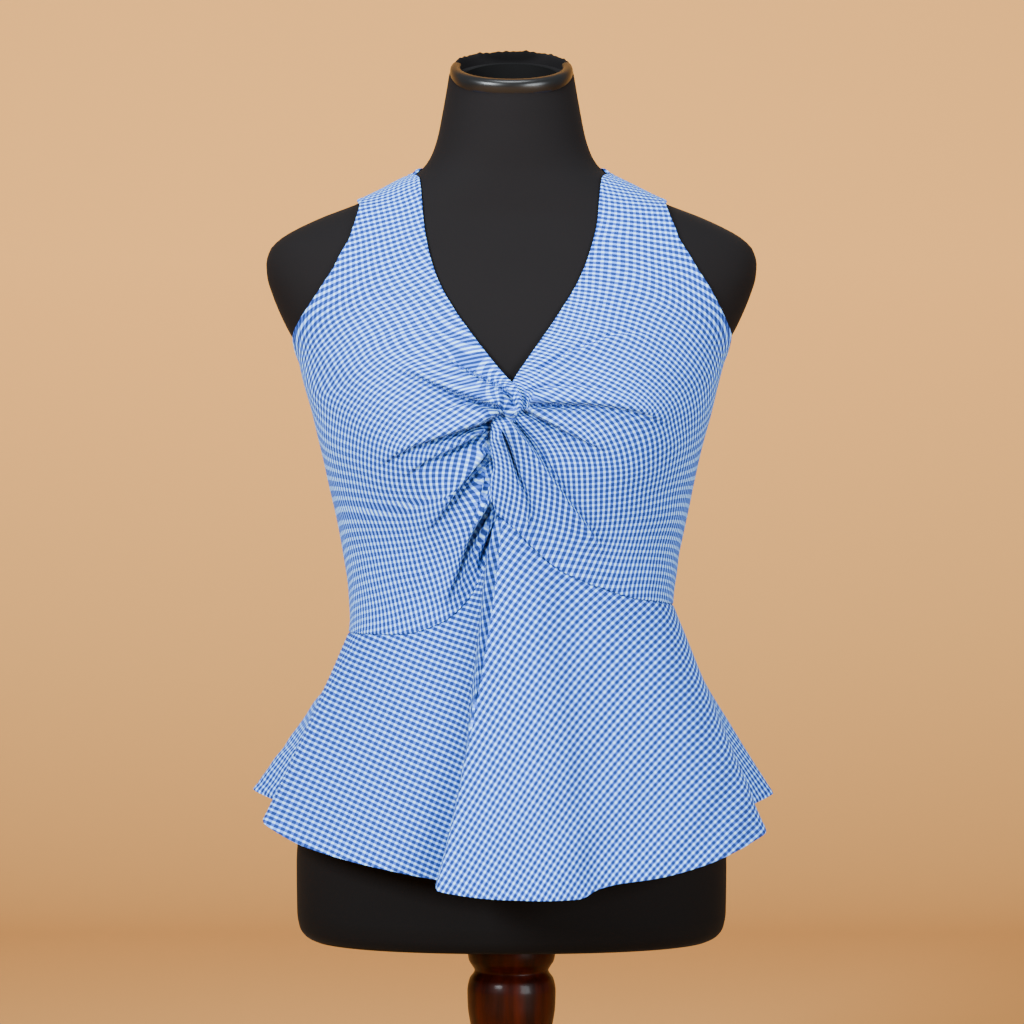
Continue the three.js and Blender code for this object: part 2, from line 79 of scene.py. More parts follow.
class Table:
    """Rows of named columns, read between its rows by a curve that never overshoots them."""

    def __init__(self, columns: str, rows: Sequence[Sequence[float]]) -> None:
        """Keeps the rows under their columns' names.

        Args:
            columns: the names, with spaces between them.
            rows: a number for each column, in order of the first.
        """
        self.names = columns.split()
        self.data = np.array(rows, dtype=float)

    def __getitem__(self, name: str) -> Array:
        """One column as it stands."""
        return self.data[:, self.names.index(name)]

    def at(self, name: str, key: Array | float) -> Array:
        """Read one column.

        Args:
            name: the column to read.
            key: values of the first column.

        Returns:
            The column's value at each key.
        """
        x, y = self.data[:, 0], self[name]
        slope = np.diff(y) / np.diff(x)
        before, after = slope[:-1], slope[1:]
        together = before * after > 0
        total = np.where(together, before + after, 1)
        inner = np.where(together, 2 * before * after / total, 0)
        tangent = np.concatenate([slope[:1], inner, slope[-1:]])
        place = np.clip(key, x[0], x[-1])
        i = np.clip(np.searchsorted(x, place, side="right") - 1, 0, len(x) - 2)
        width = x[i + 1] - x[i]
        t = (place - x[i]) / width
        t2, t3 = t * t, t * t * t
        return (
            y[i] * (2 * t3 - 3 * t2 + 1)
            + tangent[i] * width * (t3 - 2 * t2 + t)
            + y[i + 1] * (3 * t2 - 2 * t3)
            + tangent[i + 1] * width * (t3 - t2)
        )

    def by_row(self) -> Table:
        """The same rows, read by their number instead of by their first column."""
        numbered = [(i, *row) for i, row in enumerate(self.data)]
        return Table("row " + " ".join(self.names), numbered)


FORM = Table(
    "level half_width front back squareness",
    [
        (-340, 158, 97, 100, 2.3),
        (-337, 164, 104, 106, 2.3),
        (-330, 169, 109, 111, 2.3),
        (-318, 171, 111.5, 113.5, 2.3),
        (-280, 171.5, 112, 114, 2.3),
        (-240, 168, 110, 112, 2.3),
        (-200, 160, 105, 105, 2.3),
        (-150, 142, 94, 90, 2.25),
        (-110, 129, 85, 76, 2.2),
        (-80, 126, 84, 74, 2.2),
        (-40, 130, 88, 78, 2.2),
        (0, 137, 94, 85, 2.25),
        (40, 144.5, 100, 91, 2.3),
        (80, 155.5, 103, 95, 2.3),
        (110, 164, 101, 96, 2.3),
        (130, 170.5, 97, 95.5, 2.25),
        (150, 181, 91, 94, 2.2),
        (172, 190.5, 83.5, 89.5, 2.2),
        (188, 195.3, 77, 85.5, 2.2),
        (198, 196, 73, 83, 2.2),
        (209, 193, 68.5, 79.5, 2.2),
        (216, 187, 65.5, 77, 2.2),
        (222, 178.5, 63, 75, 2.2),
        (234, 154, 59, 72, 2.15),
        (246, 123, 57, 70, 2.1),
        (258, 98, 55, 67, 2.05),
        (270, 75.5, 53.5, 63, 2),
        (284, 64.5, 53, 56, 2),
        (300, 59, 52.5, 50, 2),
        (320, 55, 51.5, 47, 2),
        (334, 52.5, 51, 46.5, 2),
        (349, 50, 50, 46, 2),
    ],
)
WAIST_SEAM = Table(
    "angle level",
    [
        (-SIDE_SEAM, -96),
        (-75, -96),
        (-53, -95.5),
        (-35, -86),
        (-21, -65),
        (-13, -39),
        (MEETING_ANGLE, -3),
        (0, -10),
        (9, -25),
        (24, -45),
        (43, -59),
        (60, -68),
        (SIDE_SEAM, -75),
        (360 - SIDE_SEAM, -96),
    ],
)
NECKLINE = Table(
    "level right left",
    [
        (98, 0, 0),
        (103.5, 5, 3.5),
        (131, 27, 22.5),
        (157, 45, 39.5),
        (181, 57.5, 53),
        (204, 64.5, 61.5),
        (227, 68.5, 67),
        (245, 70, 68.5),
        (262, 72, 70.5),
        (273, 90, 90),
    ],
)
ARMHOLE = Table(
    "level right left",
    [
        (72, 98, 98),
        (96, 97, 97),
        (108, 95, 95),
        (118, 92, 92),
        (126, 88, 88.5),
        (138, 82, 83),
        (150, 75.8, 76.8),
        (162, 71.8, 73.3),
        (174, 69.3, 71.1),
        (192, 67.4, 69),
        (210, 67.2, 68.4),
        (222, 68.7, 69.8),
        (234, 72, 73),
        (241, 76, 77),
        (248, 90, 90),
    ],
)
# Where each half of the front ends at the centre, below the neckline. The right half crosses over.
MEETING_EDGE = Table(
    "level right left",
    [
        (-3, -10, -11),
        (5.4, -12, -13.8),
        (15.3, -13.5, -16),
        (24.5, -14, -16.5),
        (35.2, -11.5, -14),
        (46, -13, -16),
        (55, -14, -16.8),
        (66, -13.5, -16.5),
        (70, -9, -16),
        (73, -2, -13.5),
        (75.5, 4, -9),
        (77.5, 8, -5.5),
        (79.5, 9.4, -4),
        (84, 9, -2.6),
        (89, 7.8, -1.6),
        (93.5, 5.6, -0.8),
        (96.5, 2.6, -0.2),
        (98, 0, 0),
    ],
)
PEPLUM_COLUMNS = "angle hem_x hem_y hem_level bow"
PEPLUM_FRONT = Table(
    PEPLUM_COLUMNS,
    [
        (-SIDE_SEAM, -178, -2, -235, 0.95),
        (-90, -189, -30, -239, 1),
        (-80, -194, -62, -241, 1),
        (-66, -166, -100, -254, 1),
        (-50, -130, -127, -263, 1),
        (-36, -95, -142, -270, 0.95),
        (-24, -66, -148, -275, 0.9),
        (-14, -49, -148, -278, 0.85),
        (-10, -42, -152, -279, 0.8),
        (-8, -40, -162, -279, 0.85),
        (-6.5, -46, -173, -278.5, 1.1),
        (-5, -56, -184, -278, 1.4),
        (-4, -55, -192, -279.5, 1.4),
        (-1, -36, -199, -282.5, 1.25),
        (5, -8, -203, -285, 1.1),
        (12, 24, -201, -286, 1),
        (18, 50, -191, -286, 1),
        (24, 64, -176, -281, 1),
        (31, 78, -167, -278, 1),
        (43, 110, -153, -275, 1),
        (57, 150, -128, -267, 1),
        (70, 183, -92, -256, 1),
        (81, 199, -58, -249, 1),
        (90, 193, -28, -245, 1),
        (SIDE_SEAM, 179, -2, -240, 0.95),
    ],
)
PEPLUM_BACK = Table(
    PEPLUM_COLUMNS,
    [
        (SIDE_SEAM + 0.2, 179, 1, -240, 0.95),
        (101, 201, 30, -234, 1),
        (106, 214, 60, -230, 1),
        (117, 194, 106, -236, 1),
        (130, 150, 136, -243, 1),
        (143, 112, 146, -247, 1),
        (157, 74, 168, -250, 1),
        (168, 34, 178, -252, 1),
        (180, -4, 168, -252, 1),
        (192, -42, 178, -251, 1),
        (204, -84, 167, -248, 1),
        (217, -124, 144, -243, 1),
        (231, -172, 120, -235, 1),
        (252, -211.5, 60, -226.5, 1),
        (258, -199, 30, -230, 1),
        (360 - SIDE_SEAM - 0.2, -178, 1, -235, 0.95),
    ],
)
# Which way the cloth's lengthwise threads lean from upright, in degrees. The front's and the
# peplum front's are as seen from in front, the peplum back's as it hangs.
PEPLUM_FRONT_GRAIN = Table(
    "angle lean",
    [
        (-SIDE_SEAM, 66),
        (-50, 66),
        (-16, 72),
        (-10.4, 74),
        (-9.8, 24),
        (-5.5, 20),
        (-4, -32),
        (12, -33),
        (30, -42),
        (57, -46),
        (SIDE_SEAM, -52),
    ],
)
PEPLUM_BACK_GRAIN = Table("angle lean", [(98, 20), (180, 0), (262, -18)])
BACK_TOP = Table(
    "angle level",
    [(SIDE_SEAM, 72), (130, 69), (180, 66), (230, 69), (360 - SIDE_SEAM, 72)],
)
NECK_BAND = Table(
    "angle low high",
    [
        (90, 248, 273),
        (110, 245, 276),
        (130, 245, 280),
        (155, 250, 284),
        (180, 252, 285),
        (205, 250, 284),
        (230, 245, 280),
        (250, 245, 276),
        (270, 248, 273),
    ],
)
# The same for the front's halves, at measured places: across, level and lean
RIGHT_GRAIN = [
    (-88, 254, -57), (-107, 229, -70), (-79, 212, -73), (-110, 188, -75), (-67, 172, -73),
    (-126, 157, -71), (-55, 148, -77), (-86, 140, -78), (-142, 126, -63), (-54, 116, -77),
    (-32, 105, -80), (-85, 101, -50), (-62, 85, -58), (-43, 89, -65), (-32, 70, -52),
    (-54, 63, -48), (-85, 66, -36), (-108, 71, -36), (-134, 56, -14), (-101, 40, -24),
    (-78, 32, -14), (-51, 44, -5), (-32, 51, 0), (-28, 40, 8), (-63, 17, 8), (-86, 2, 2),
    (-130, 25, -12), (-127, -6, 0), (-103, -22, -3), (-87, -37, 2), (-128, -38, 0),
    (-111, -69, 0), (-87, -69, 12), (-55, -37, 19), (-44, -6, 24), (-32, 17, 25), (-55, -68, 15),
    (-24, -14, 22), (-32, -37, 26), (-22, 107, -97), (-14, 104, -104), (-8.6, 101, -114),
    (-2.9, 94.7, -130), (2, 89, -142), (5, 83, -150), (6.5, 79.5, -150), (-14, 93, -100),
    (-6, 83, -124), (-20, 98, -94), (2, 80, -142),
]
LEFT_GRAIN = [
    (101, 233, 82), (77, 228, 82), (77, 188, 97), (108, 188, 81), (84, 156, 88), (139, 158, 67),
    (107, 141, 72), (60, 132, 82), (147, 127, 57), (37, 109, 71), (68, 113, 67), (98, 109, 63),
    (131, 110, 55), (45, 89, 63), (75, 89, 64), (107, 86, 52), (139, 80, 18), (60, 74, 45),
    (37, 74, 44), (83, 63, 34), (26, 47, 15), (106, 40, 24), (106, 56, 30), (68, 32, 12),
    (68, 2, 15), (107, 9, 20), (45, 24, 3), (141, 33, 5), (101, -22, 0), (69, -45, -16),
    (45, -29, -16), (37, -6, -15), (22, -6, -16), (22, 17, -14), (10, 40, -13), (0, 63, 0),
    (-1, 9, -17), (-9, 25, -10), (-10, 51, -8), (16, 99, 92), (24, 91, 82), (14, 73, 32),
    (2, 74, 16), (101, -53, 0), (130, -30, 2),
]

# How the front's check is skewed, in degrees on the wearer's right, and how close its threads lie
GATHERS = Table(
    "level skew along across",
    [
        (-100, 25, 1.17, 1.12),
        (-40, 25, 1.17, 1.14),
        (0, 20, 1.12, 1.0),
        (60, 14, 1.18, 0.97),
        (100, 2, 1.06, 1.08),
        (140, -12, 0.98, 1.3),
        (190, -5, 1.0, 1.24),
        (230, -4, 1.02, 1.2),
        (270, 0, 1.0, 1.2),
    ],
)


class Side(Enum):
    """A half of the front, by the wearer's own side."""

    RIGHT = -1
    LEFT = 1

    @property
    def column(self) -> str:
        """The name of its column in the tables."""
        return self.name.lower()


@dataclass(frozen=True)
class Crease:
    """A line on the front along which the cloth folds.

    Its points are (across, level) in the front view, from the twist outwards. The cloth rises by
    `above` and `below` on its two sides over `spread`, and falls by `dip` along the line. Where it
    is `cut`, it hides cloth, so the check and the thread directions don't run on across it.
    """

    side: Side
    points: tuple[tuple[float, float], ...]
    above: float
    below: float
    spread: float
    dip: float
    dip_spread: float
    cut: bool = True


def seen(px: float, py: float) -> tuple[float, float]:
    """A place in the photograph's frame, as across and level."""
    return ((px - PIXEL_MIDDLE[0]) * PIXEL, (PIXEL_MIDDLE[1] - py) * PIXEL)


def fold(
    side: Side,
    points: Sequence[tuple[float, float]],
    above: float,
    below: float,
    spread: float,
    dip: float,
    dip_spread: float,
    cut: bool = True,
) -> Crease:
    """One crease, from places in the photograph's frame and the sizes that a Crease has."""
    line = tuple(seen(*point) for point in points)
    return Crease(side, line, above, below, spread, dip, dip_spread, cut)


R, L = Side.RIGHT, Side.LEFT
CREASES = (
    fold(
        R,
        ((515.5, 410), (513, 402), (507, 394), (497.5, 387), (485, 380), (470, 372), (453, 362),
         (433, 354)),
        2.6, 1.2, 6, 3.6, 1.5,
    ),
    fold(
        R,
        ((524, 406), (521, 398), (514, 389), (502, 377), (484, 366)),
        1.2, 0.6, 2.4, 0.9, 0.8, False,
    ),
    fold(
        R,
        ((504, 411), (487, 406), (460, 396), (435, 385), (418, 377), (395, 369)),
        6.5, 1.6, 12, 4, 2,
    ),
    fold(R, ((480, 403), (460, 406), (435, 411), (413, 413)), 1.2, 2, 5, 1.8, 1.3, False),
    fold(R, ((505, 411), (490, 420), (452, 433), (410, 448), (380, 466)), 7.5, 1, 12, 5, 2.4),
    fold(R, ((488, 429), (455, 447), (425, 462), (404, 477)), 5.5, 0.8, 9, 4, 2),
    fold(R, ((489, 451), (473, 470), (453, 497), (438, 518), (424, 534)), 6.5, 1, 14, 5, 2.4),
    fold(R, ((488, 470), (479, 500), (468, 527), (452, 555)), 2.8, 2.4, 7, 2.4, 1.8, False),
    fold(
        R,
        ((493, 500), (485, 513), (475, 530), (466, 550), (459, 571), (450, 594), (446, 608)),
        5, 4, 9, 9, 2.4,
    ),
    fold(
        R,
        ((497, 508), (497, 521), (491, 531), (486, 543), (481, 556), (478, 574)),
        4, 3, 6, 9, 2.4,
    ),
    fold(R, ((470, 345), (420, 330), (360, 345)), 1.4, 1.8, 11, 1, 4, False),
    fold(
        L,
        ((535, 375), (555, 362), (577, 350), (597, 342), (622, 334), (660, 333)),
        2.6, 3.2, 9, 2.6, 2, False,
    ),
    fold(
        L,
        ((521, 392), (547, 387), (572, 385), (597, 387), (640, 393)),
        2.4, 2.2, 7, 2.2, 1.6, False,
    ),
    fold(
        L,
        ((524, 406), (547, 405), (577, 405), (605, 407), (640, 413), (670, 426)),
        6, 1.5, 12, 4, 2.2,
    ),
    fold(
        L,
        ((523, 409), (540, 418), (557, 427), (572, 435), (588, 443), (606, 452)),
        6, 1.2, 11, 4, 2,
    ),
    fold(
        L,
        ((504, 413), (518, 428), (530, 443), (543, 462), (555, 480), (570, 502), (588, 526),
         (608, 552)),
        1, 6, 12, 4.4, 2,
    ),
    fold(
        L,
        ((499, 428), (507, 447), (518, 478), (526, 497), (529, 514), (528, 540)),
        3, 4, 8, 5, 1.8,
    ),
    fold(L, ((557, 427), (580, 427), (597, 422)), 1.6, 1.6, 5, 1.6, 1.4, False),
    fold(L, ((626, 545), (630, 566), (630, 590)), 0.5, 0.5, 4, 0.5, 2.4, False),
    fold(L, ((641, 540), (646, 562), (645, 592)), 0.6, 0.4, 4, 0.6, 2.2, False),
    fold(L, ((657, 548), (660, 568), (659, 590)), 0.4, 0.4, 4, 0.5, 2.2, False),
    fold(R, ((372, 560), (376, 590), (380, 618)), 0.4, 0.4, 5, 0.5, 3, False),
)


def smooth(t: Array | float) -> Array:
    """A step from 0 to 1 that starts and ends level."""
    s = np.clip(t, 0, 1)
    return s * s * (3 - 2 * s)


def mix(a: Array | float, b: Array | float, t: Array | float) -> Array:
    """The value a share t of the way from a to b."""
    return a + (b - a) * t


@dataclass(frozen=True)
class Figure:
    """The form's shape, or the smoother one that the cloth follows over it.

    The bust is a general one: `spread`, `above` and `below` are how far it runs out sideways, up
    and down.
    """

    spread: float
    above: float
    below: float
    bust_level: float = 62.0
    bust_half_span: float = 76.0
    bust_depth: float = 27.0
    neck_foot: float = 262.0
    neck_top: float = 349.0
    neck_tilt: float = 22.0

    def lean(self, level: Array | float) -> Array:
        """How steeply the sections tip forwards at a level, as the neck does."""
        share = smooth((np.asarray(level) - self.neck_foot) / (self.neck_top - self.neck_foot))
        return np.tan(np.radians(self.neck_tilt * share))

    def point(self, angle: Array | float, level: Array | float) -> Array:
        """Points on the figure.

        Args:
            angle: degrees round the form.
            level: heights above the datum.

        Returns:
            The points, in millimetres.
        """
        angle, level = np.broadcast_arrays(np.asarray(angle, float), np.asarray(level, float))
        s, c = np.sin(np.radians(angle)), np.cos(np.radians(angle))
        half, power = FORM.at("half_width", level), FORM.at("squareness", level)
        depth = np.where(c > 0, FORM.at("front", level), FORM.at("back", level))
        reach = ((np.abs(s) / half) ** power + (np.abs(c) / depth) ** power) ** (-1 / power)
        rise = (level - self.bust_level) / np.where(level > self.bust_level, self.above, self.below)
        near = sum(
            np.exp(-(((reach * s - side.value * self.bust_half_span) / self.spread) ** 2))
            for side in Side
        )
        reach = reach + self.bust_depth * np.exp(-rise * rise) * near * np.sqrt(np.maximum(0, c))
        x, y = reach * s, -reach * c
        return np.stack([x, y, DATUM + level + y * self.lean(level)], axis=-1)

    def outwards(self, angle: Array | float, level: Array | float) -> Array:
        """Which way is out from the figure, as unit vectors.

        Args:
            angle: degrees round the form.
            level: heights above the datum.

        Returns:
            The unit vectors.
        """
        step = 0.5
        round_it = self.point(angle + step, level) - self.point(angle - step, level)
        up = self.point(angle, level + step) - self.point(angle, level - step)
        return unit(np.cross(round_it, up))

    def angle_at(self, level: Array, across: Array) -> Array:
        """The angle at which the figure is `across` from its middle, on that side of it.

        Args:
            level: heights above the datum.
            across: how far from the middle, positive on the wearer's left.

        Returns:
            The angles, in degrees.
        """
        low, high = np.zeros_like(level), np.full_like(level, 90.0)
        for _ in range(30):
            middle = (low + high) / 2
            short = self.point(middle, level)[..., 0] < np.abs(across)
            low, high = np.where(short, middle, low), np.where(short, high, middle)
        return low * np.sign(across)


FORM_FIGURE = Figure(spread=42, above=58, below=38)
CLOTH_FIGURE = Figure(spread=60, above=66, below=64)


def unit(vectors: Array) -> Array:
    """The same directions, one long each."""
    return vectors / np.maximum(np.linalg.norm(vectors, axis=-1, keepdims=True), 1e-9)


def front_view(points: Array) -> Array:
    """Where points are in the photograph's view, as across and level at the form's middle plane."""
    nearness = VIEW_DISTANCE / (VIEW_DISTANCE + points[..., 1])
    return np.stack([points[..., 0], points[..., 2] - DATUM], axis=-1) * nearness[..., None]


def along_rows(points: Array, axis: int) -> Array:
    """How far each point of a grid is from its row's or column's first, along it.

    Args:
        points: a grid of points.
        axis: 0 to measure up the grid, 1 to measure round it.

    Returns:
        The distance at each point.
    """
    steps = np.linalg.norm(np.diff(points, axis=axis), axis=-1)
    start = np.zeros_like(np.take(steps, [0], axis=axis))
    return np.cumsum(np.concatenate([start, steps], axis=axis), axis=axis)


def grid_outwards(points: Array) -> Array:
    """Which way is out at each point of a grid whose columns run round and whose rows run up."""
    return unit(np.cross(np.gradient(points, axis=1), np.gradient(points, axis=0)))


def curve_through(points: Sequence[tuple[float, float]], steps: int = 36) -> Array:
    """A smooth line through a few points of the front view.

    Args:
        points: what the line passes through, in order.
        steps: how many points it is made of.

    Returns:
        The line's points.
    """
    line = np.array(points, float)
    reach = np.concatenate([[0], np.cumsum(np.linalg.norm(np.diff(line, axis=0), axis=1))])
    at = np.linspace(0, reach[-1], steps)
    table = Table("reach x level", np.column_stack([reach, line]))
    return np.column_stack([table.at("x", at), table.at("level", at)])


def beside(line: Array, places: Array) -> tuple[Array, Array]:
    """How places lie beside a line.

    Args:
        line: points of the line, in order.
        places: the places, in the same plane.

    Returns:
        The distance to the line, positive on its upper side, and the share of the way along it.
    """
    start, span = line[:-1], np.diff(line, axis=0)
    best = np.full(places.shape[:-1], np.inf)
    signed, share = np.zeros_like(best), np.zeros_like(best)
    for i, (here, step) in enumerate(zip(start, span)):
        away = places - here
        t = np.clip((away @ step) / (step @ step), 0, 1)
        gap = away - t[..., None] * step
        distance = np.linalg.norm(gap, axis=-1)
        turn = step[0] * away[..., 1] - step[1] * away[..., 0]
        upper = np.where(turn * (1 if line[-1, 0] >= line[0, 0] else -1) >= 0, 1, -1)
        nearer = distance < best
        best = np.where(nearer, distance, best)
        signed = np.where(nearer, distance * upper, signed)
        share = np.where(nearer, (i + t) / len(span), share)
    return signed, share


@dataclass
class Relief:
    """The folds of one half of the front, over places in the front view."""

    side: Side
    places: Array

    def __post_init__(self) -> None:
        """Finds how the places lie beside each of this half's creases."""
        self.creases = [crease for crease in CREASES if crease.side is self.side]
        self.beside = [beside(curve_through(c.points), self.places) for c in self.creases]

    def lift(self) -> Array:
        """How far the creases raise the cloth, in millimetres.

        Returns:
            The rise at each place.
        """
        total = np.zeros(self.places.shape[:-1])
        for crease, (signed, share) in zip(self.creases, self.beside):
            away = np.abs(signed) / crease.spread
            side_share = smooth(signed / 2 + 0.5)
            rise = mix(crease.below, crease.above, side_share) * np.exp(-(away**1.5))
            low_side = -0.6 * crease.dip_spread * np.sign(crease.above - crease.below)
            groove = crease.dip * np.exp(-(((signed - low_side) / crease.dip_spread) ** 2))
            fade = (1 - share) ** 0.7 * smooth(share / 0.08)
            total += (rise - groove) * fade
        return 1.7 * total

    def shade(self) -> Array:
        """Painted shade over the cloth's colour, from 0 to 1: most along a crease, less beside it.

        Returns:
            The painted shade at each place.
        """
        total = np.zeros(self.places.shape[:-1])
        for crease, (signed, share) in zip(self.creases, self.beside):
            if crease.cut:
                deep = crease.dip / 5
                low_side = -0.45 * crease.dip_spread * np.sign(crease.above - crease.below)
                # Painted shade: a dark line along the crease's low side and a soft band beside it
                line = np.exp(-(((signed - low_side) / (0.42 * crease.dip_spread * deep)) ** 2))
                soft = 0.5 * np.exp(-(((signed - 4 * low_side) / (2.2 * crease.dip_spread)) ** 2))
                fade = (1 - share) ** 0.5 * smooth(share / 0.05)
                total = np.maximum(total, np.maximum(1.2 * line, soft) * min(deep, 1.7) * fade)
        return np.clip(total, 0, 1)

    def splits(self) -> list[Array]:
        """For each crease that parts the check: 1 on its upper side, -1 on its lower, else 0.

        Returns:
            A grid for each of those creases.
        """
        found = []
        for crease, (signed, share) in zip(self.creases, self.beside):
            if crease.cut:
                near = (np.abs(signed) < 5) & (share > 0.02) & (share < 0.85)
                found.append(np.where(near, np.where(signed > 0, 1, -1), 0))
        return found

    def cuts(self, axis: int) -> Array:
        """Which steps of the grid cross a crease, along one of its axes.

        Args:
            axis: 0 for the steps up the grid, 1 for those round it.

        Returns:
            True at each step that crosses one.
        """
        crossed = None
        for crease, (signed, share) in zip(self.creases, self.beside):
            first, second = neighbours(signed, axis)
            here, _ = neighbours(share, axis)
            found = (first * second < 0) & (np.abs(first) < 5) & (here > 0.02) & (here < 0.85)
            found &= crease.cut
            crossed = found if crossed is None else crossed | found
        return crossed


def neighbours(field: Array, axis: int) -> tuple[Array, Array]:
    """Each value of a grid and the next one along an axis."""
    count = field.shape[axis]
    return np.take(field, range(count - 1), axis), np.take(field, range(1, count), axis)


class Check:
    """Lays the check over a grid of cloth: its threads follow a guide and stay evenly spaced."""

    PERIODS = np.array([4.35, 5.1])

    def __init__(
        self,
        points: Array,
        turn: Array,
        cuts: tuple[Array, Array] | None = None,
        lean: Array | None = None,
        gathers: Array | None = None,
    ) -> None:
        """Keeps the grid and how freely each of its steps may stretch.

        Args:
            points: the grid's points, in millimetres.
            turn: how far the lengthwise threads lean from upright at each, in degrees.
            cuts: which steps up and which steps round the grid cross a crease.
            lean: how far they lean as seen from in front, where that leads.
            gathers: the crosswise threads' skew in degrees, and how close both kinds lie.
        """
        self.points, self.turn, self.cuts = points, np.radians(turn), cuts
        self.lean = None if lean is None else np.radians(lean)
        even = np.broadcast_to(np.array([0.0, 1.0, 1.0]), turn.shape + (3,))
        self.gathers = even if gathers is None else gathers
        out = grid_outwards(points)
        up = unit(np.array([0, 0, 1.0]) - out[..., 2:] * out)
        self.round, self.up = np.cross(up, out), up
        self.steps = [np.diff(points, axis=axis) for axis in (0, 1)]
        length = [np.linalg.norm(step, axis=-1) + 1e-6 for step in self.steps]
        spread = [self._between(along_rows(points, 1 - a), a, 1 - a) for a in (0, 1)]
        self.weight = [w / l for w, l in zip(spread, length)]
        if cuts is not None:
            self.weight = [np.where(cut, 0.002, w) for cut, w in zip(cuts, self.weight)]

    @staticmethod
    def _between(reach: Array, axis: int, across: int) -> Array:
        """The width of cloth that each step along an axis stands for.

        Args:
            reach: how far each point is along its row or column, the other way.
            axis: the axis that the steps run along.
            across: the other axis.

        Returns:
            The width at each step.
        """
        width = np.abs(np.gradient(reach, axis=across))
        first, second = neighbours(width, axis)
        return (first + second) / 2

    def _divergence(self, flows: list[Array]) -> Array:
        """What flows out of each point, from the flow along each step.

        Args:
            flows: the flow along the steps up and along those round.

        Returns:
            The flow out of each point.
        """
        total = np.zeros(self.points.shape[:2] + flows[0].shape[2:])
        total[:-1] -= flows[0]
        total[1:] += flows[0]
        total[:, :-1] -= flows[1]
        total[:, 1:] += flows[1]
        return total

    def _flow(self, x: Array) -> Array:
        """What flows out of each point, from the coordinates themselves."""
        steps = enumerate(self.weight)
        return self._divergence([w[..., None] * np.diff(x, axis=axis) for axis, w in steps])

    def _solve(self, wanted: list[Array], start: Array, rounds: int) -> Array:
        """The coordinates whose steps are nearest to the wanted ones, by conjugate gradients.

        Args:
            wanted: the steps up and round that the coordinates should take.
            start: a first answer.
            rounds: how many rounds to take.

        Returns:
            The coordinates at each point.
        """
        weight = [w[..., None] for w in self.weight]
        ones = np.zeros(self.points.shape[:2] + (1,))
        ones[:-1] += weight[0]
        ones[1:] += weight[0]
        ones[:, :-1] += weight[1]
        ones[:, 1:] += weight[1]
        x = start
        left = self._divergence([w * d for w, d in zip(weight, wanted)]) - self._flow(x)
        ready = left / ones
        ahead, strength = ready.copy(), (left * ready).sum((0, 1))
        for _ in range(rounds):
            pushed = self._flow(ahead)
            move = strength / np.maximum((ahead * pushed).sum((0, 1)), 1e-12)
            x = x + move * ahead
            left = left - move * pushed
            ready = left / ones
            fresh = (left * ready).sum((0, 1))
            ahead = ready + fresh / np.maximum(strength, 1e-12) * ahead
            strength = fresh
        return x

    def _threads(self, turn: Array) -> tuple[Array, Array]:
        """The ways the two coordinates grow, for threads that lean by `turn`.

        Args:
            turn: the lean at each point, in radians.

        Returns:
            A vector at each point for each coordinate.
        """
        skewed = turn + np.radians(self.gathers[..., 0])
        c, s = (f(turn)[..., None] * self.gathers[..., 1:2] for f in (np.cos, np.sin))
        c2, s2 = (f(skewed)[..., None] * self.gathers[..., 2:] for f in (np.cos, np.sin))
        return c * self.round + s * self.up, c2 * self.up - s2 * self.round

    def _wanted(self, turn: Array) -> list[Array]:
        """The coordinate steps, in millimetres of cloth, for threads that lean by `turn`.

        Args:
            turn: the lean at each point, in radians.

        Returns:
            The steps up the grid and those round it.
        """
        threads = self._threads(turn)
        wanted = []
        for axis, step in enumerate(self.steps):
            pair = [sum(neighbours(thread, axis)) / 2 for thread in threads]
            wanted.append(np.stack([(step * thread).sum(-1) for thread in pair], axis=-1))
        return wanted if self.lean is None else [self._as_seen(w, a) for a, w in enumerate(wanted)]

    def _as_seen(self, wanted: Array, axis: int) -> Array:
        """The same steps along an axis, as the front view has them where the cloth faces it.

        Args:
            wanted: the steps as the cloth hangs.
            axis: the axis that they run along.

        Returns:
            The steps, changed where the cloth faces the view.
        """
        lean = sum(neighbours(self.lean, axis)) / 2
        facing = sum(neighbours(-grid_outwards(self.points)[..., 1], axis)) / 2
        step = np.diff(front_view(self.points), axis=axis)
        c, s = np.cos(lean), np.sin(lean)
        along, across = c * step[..., 0] + s * step[..., 1], c * step[..., 1] - s * step[..., 0]
        shown = smooth((facing - FACING) / FACING)[..., None]
        return mix(wanted, np.stack([along, across], axis=-1), shown)

    def _start(self, rounds: int) -> Array:
        """A first answer, from every second point of the grid.

        Args:
            rounds: how many rounds the solver takes.

        Returns:
            The coordinates at each point of the whole grid.
        """
        rows, columns = self.points.shape[:2]
        pick = (slice(None, None, 2), slice(None, None, 2))
        cuts = None
        if self.cuts is not None:
            up, round_it = self.cuts
            cuts = ((up[::2] | up[1::2])[:, ::2], (round_it[:, ::2] | round_it[:, 1::2])[::2])
        lean = None if self.lean is None else np.degrees(self.lean[pick])
        turn = np.degrees(self.turn[pick])
        coarse = Check(self.points[pick], turn, cuts, lean, self.gathers[pick])
        steps = coarse._wanted(coarse.turn)
        x = np.zeros(coarse.points.shape[:2] + (2,))
        x[1:, 0] = np.cumsum(steps[0][:, 0], axis=0)
        x[:, 1:] = x[:, :1] + np.cumsum(steps[1], axis=1)
        x = coarse._solve(steps, x, rounds)
        x = np.repeat(x, 2, axis=0)[:rows]
        x[1:-1:2] = (x[:-2:2] + x[2::2]) / 2
        x = np.repeat(x, 2, axis=1)[:, :columns]
        x[:, 1:-1:2] = (x[:, :-2:2] + x[:, 2::2]) / 2
        return x

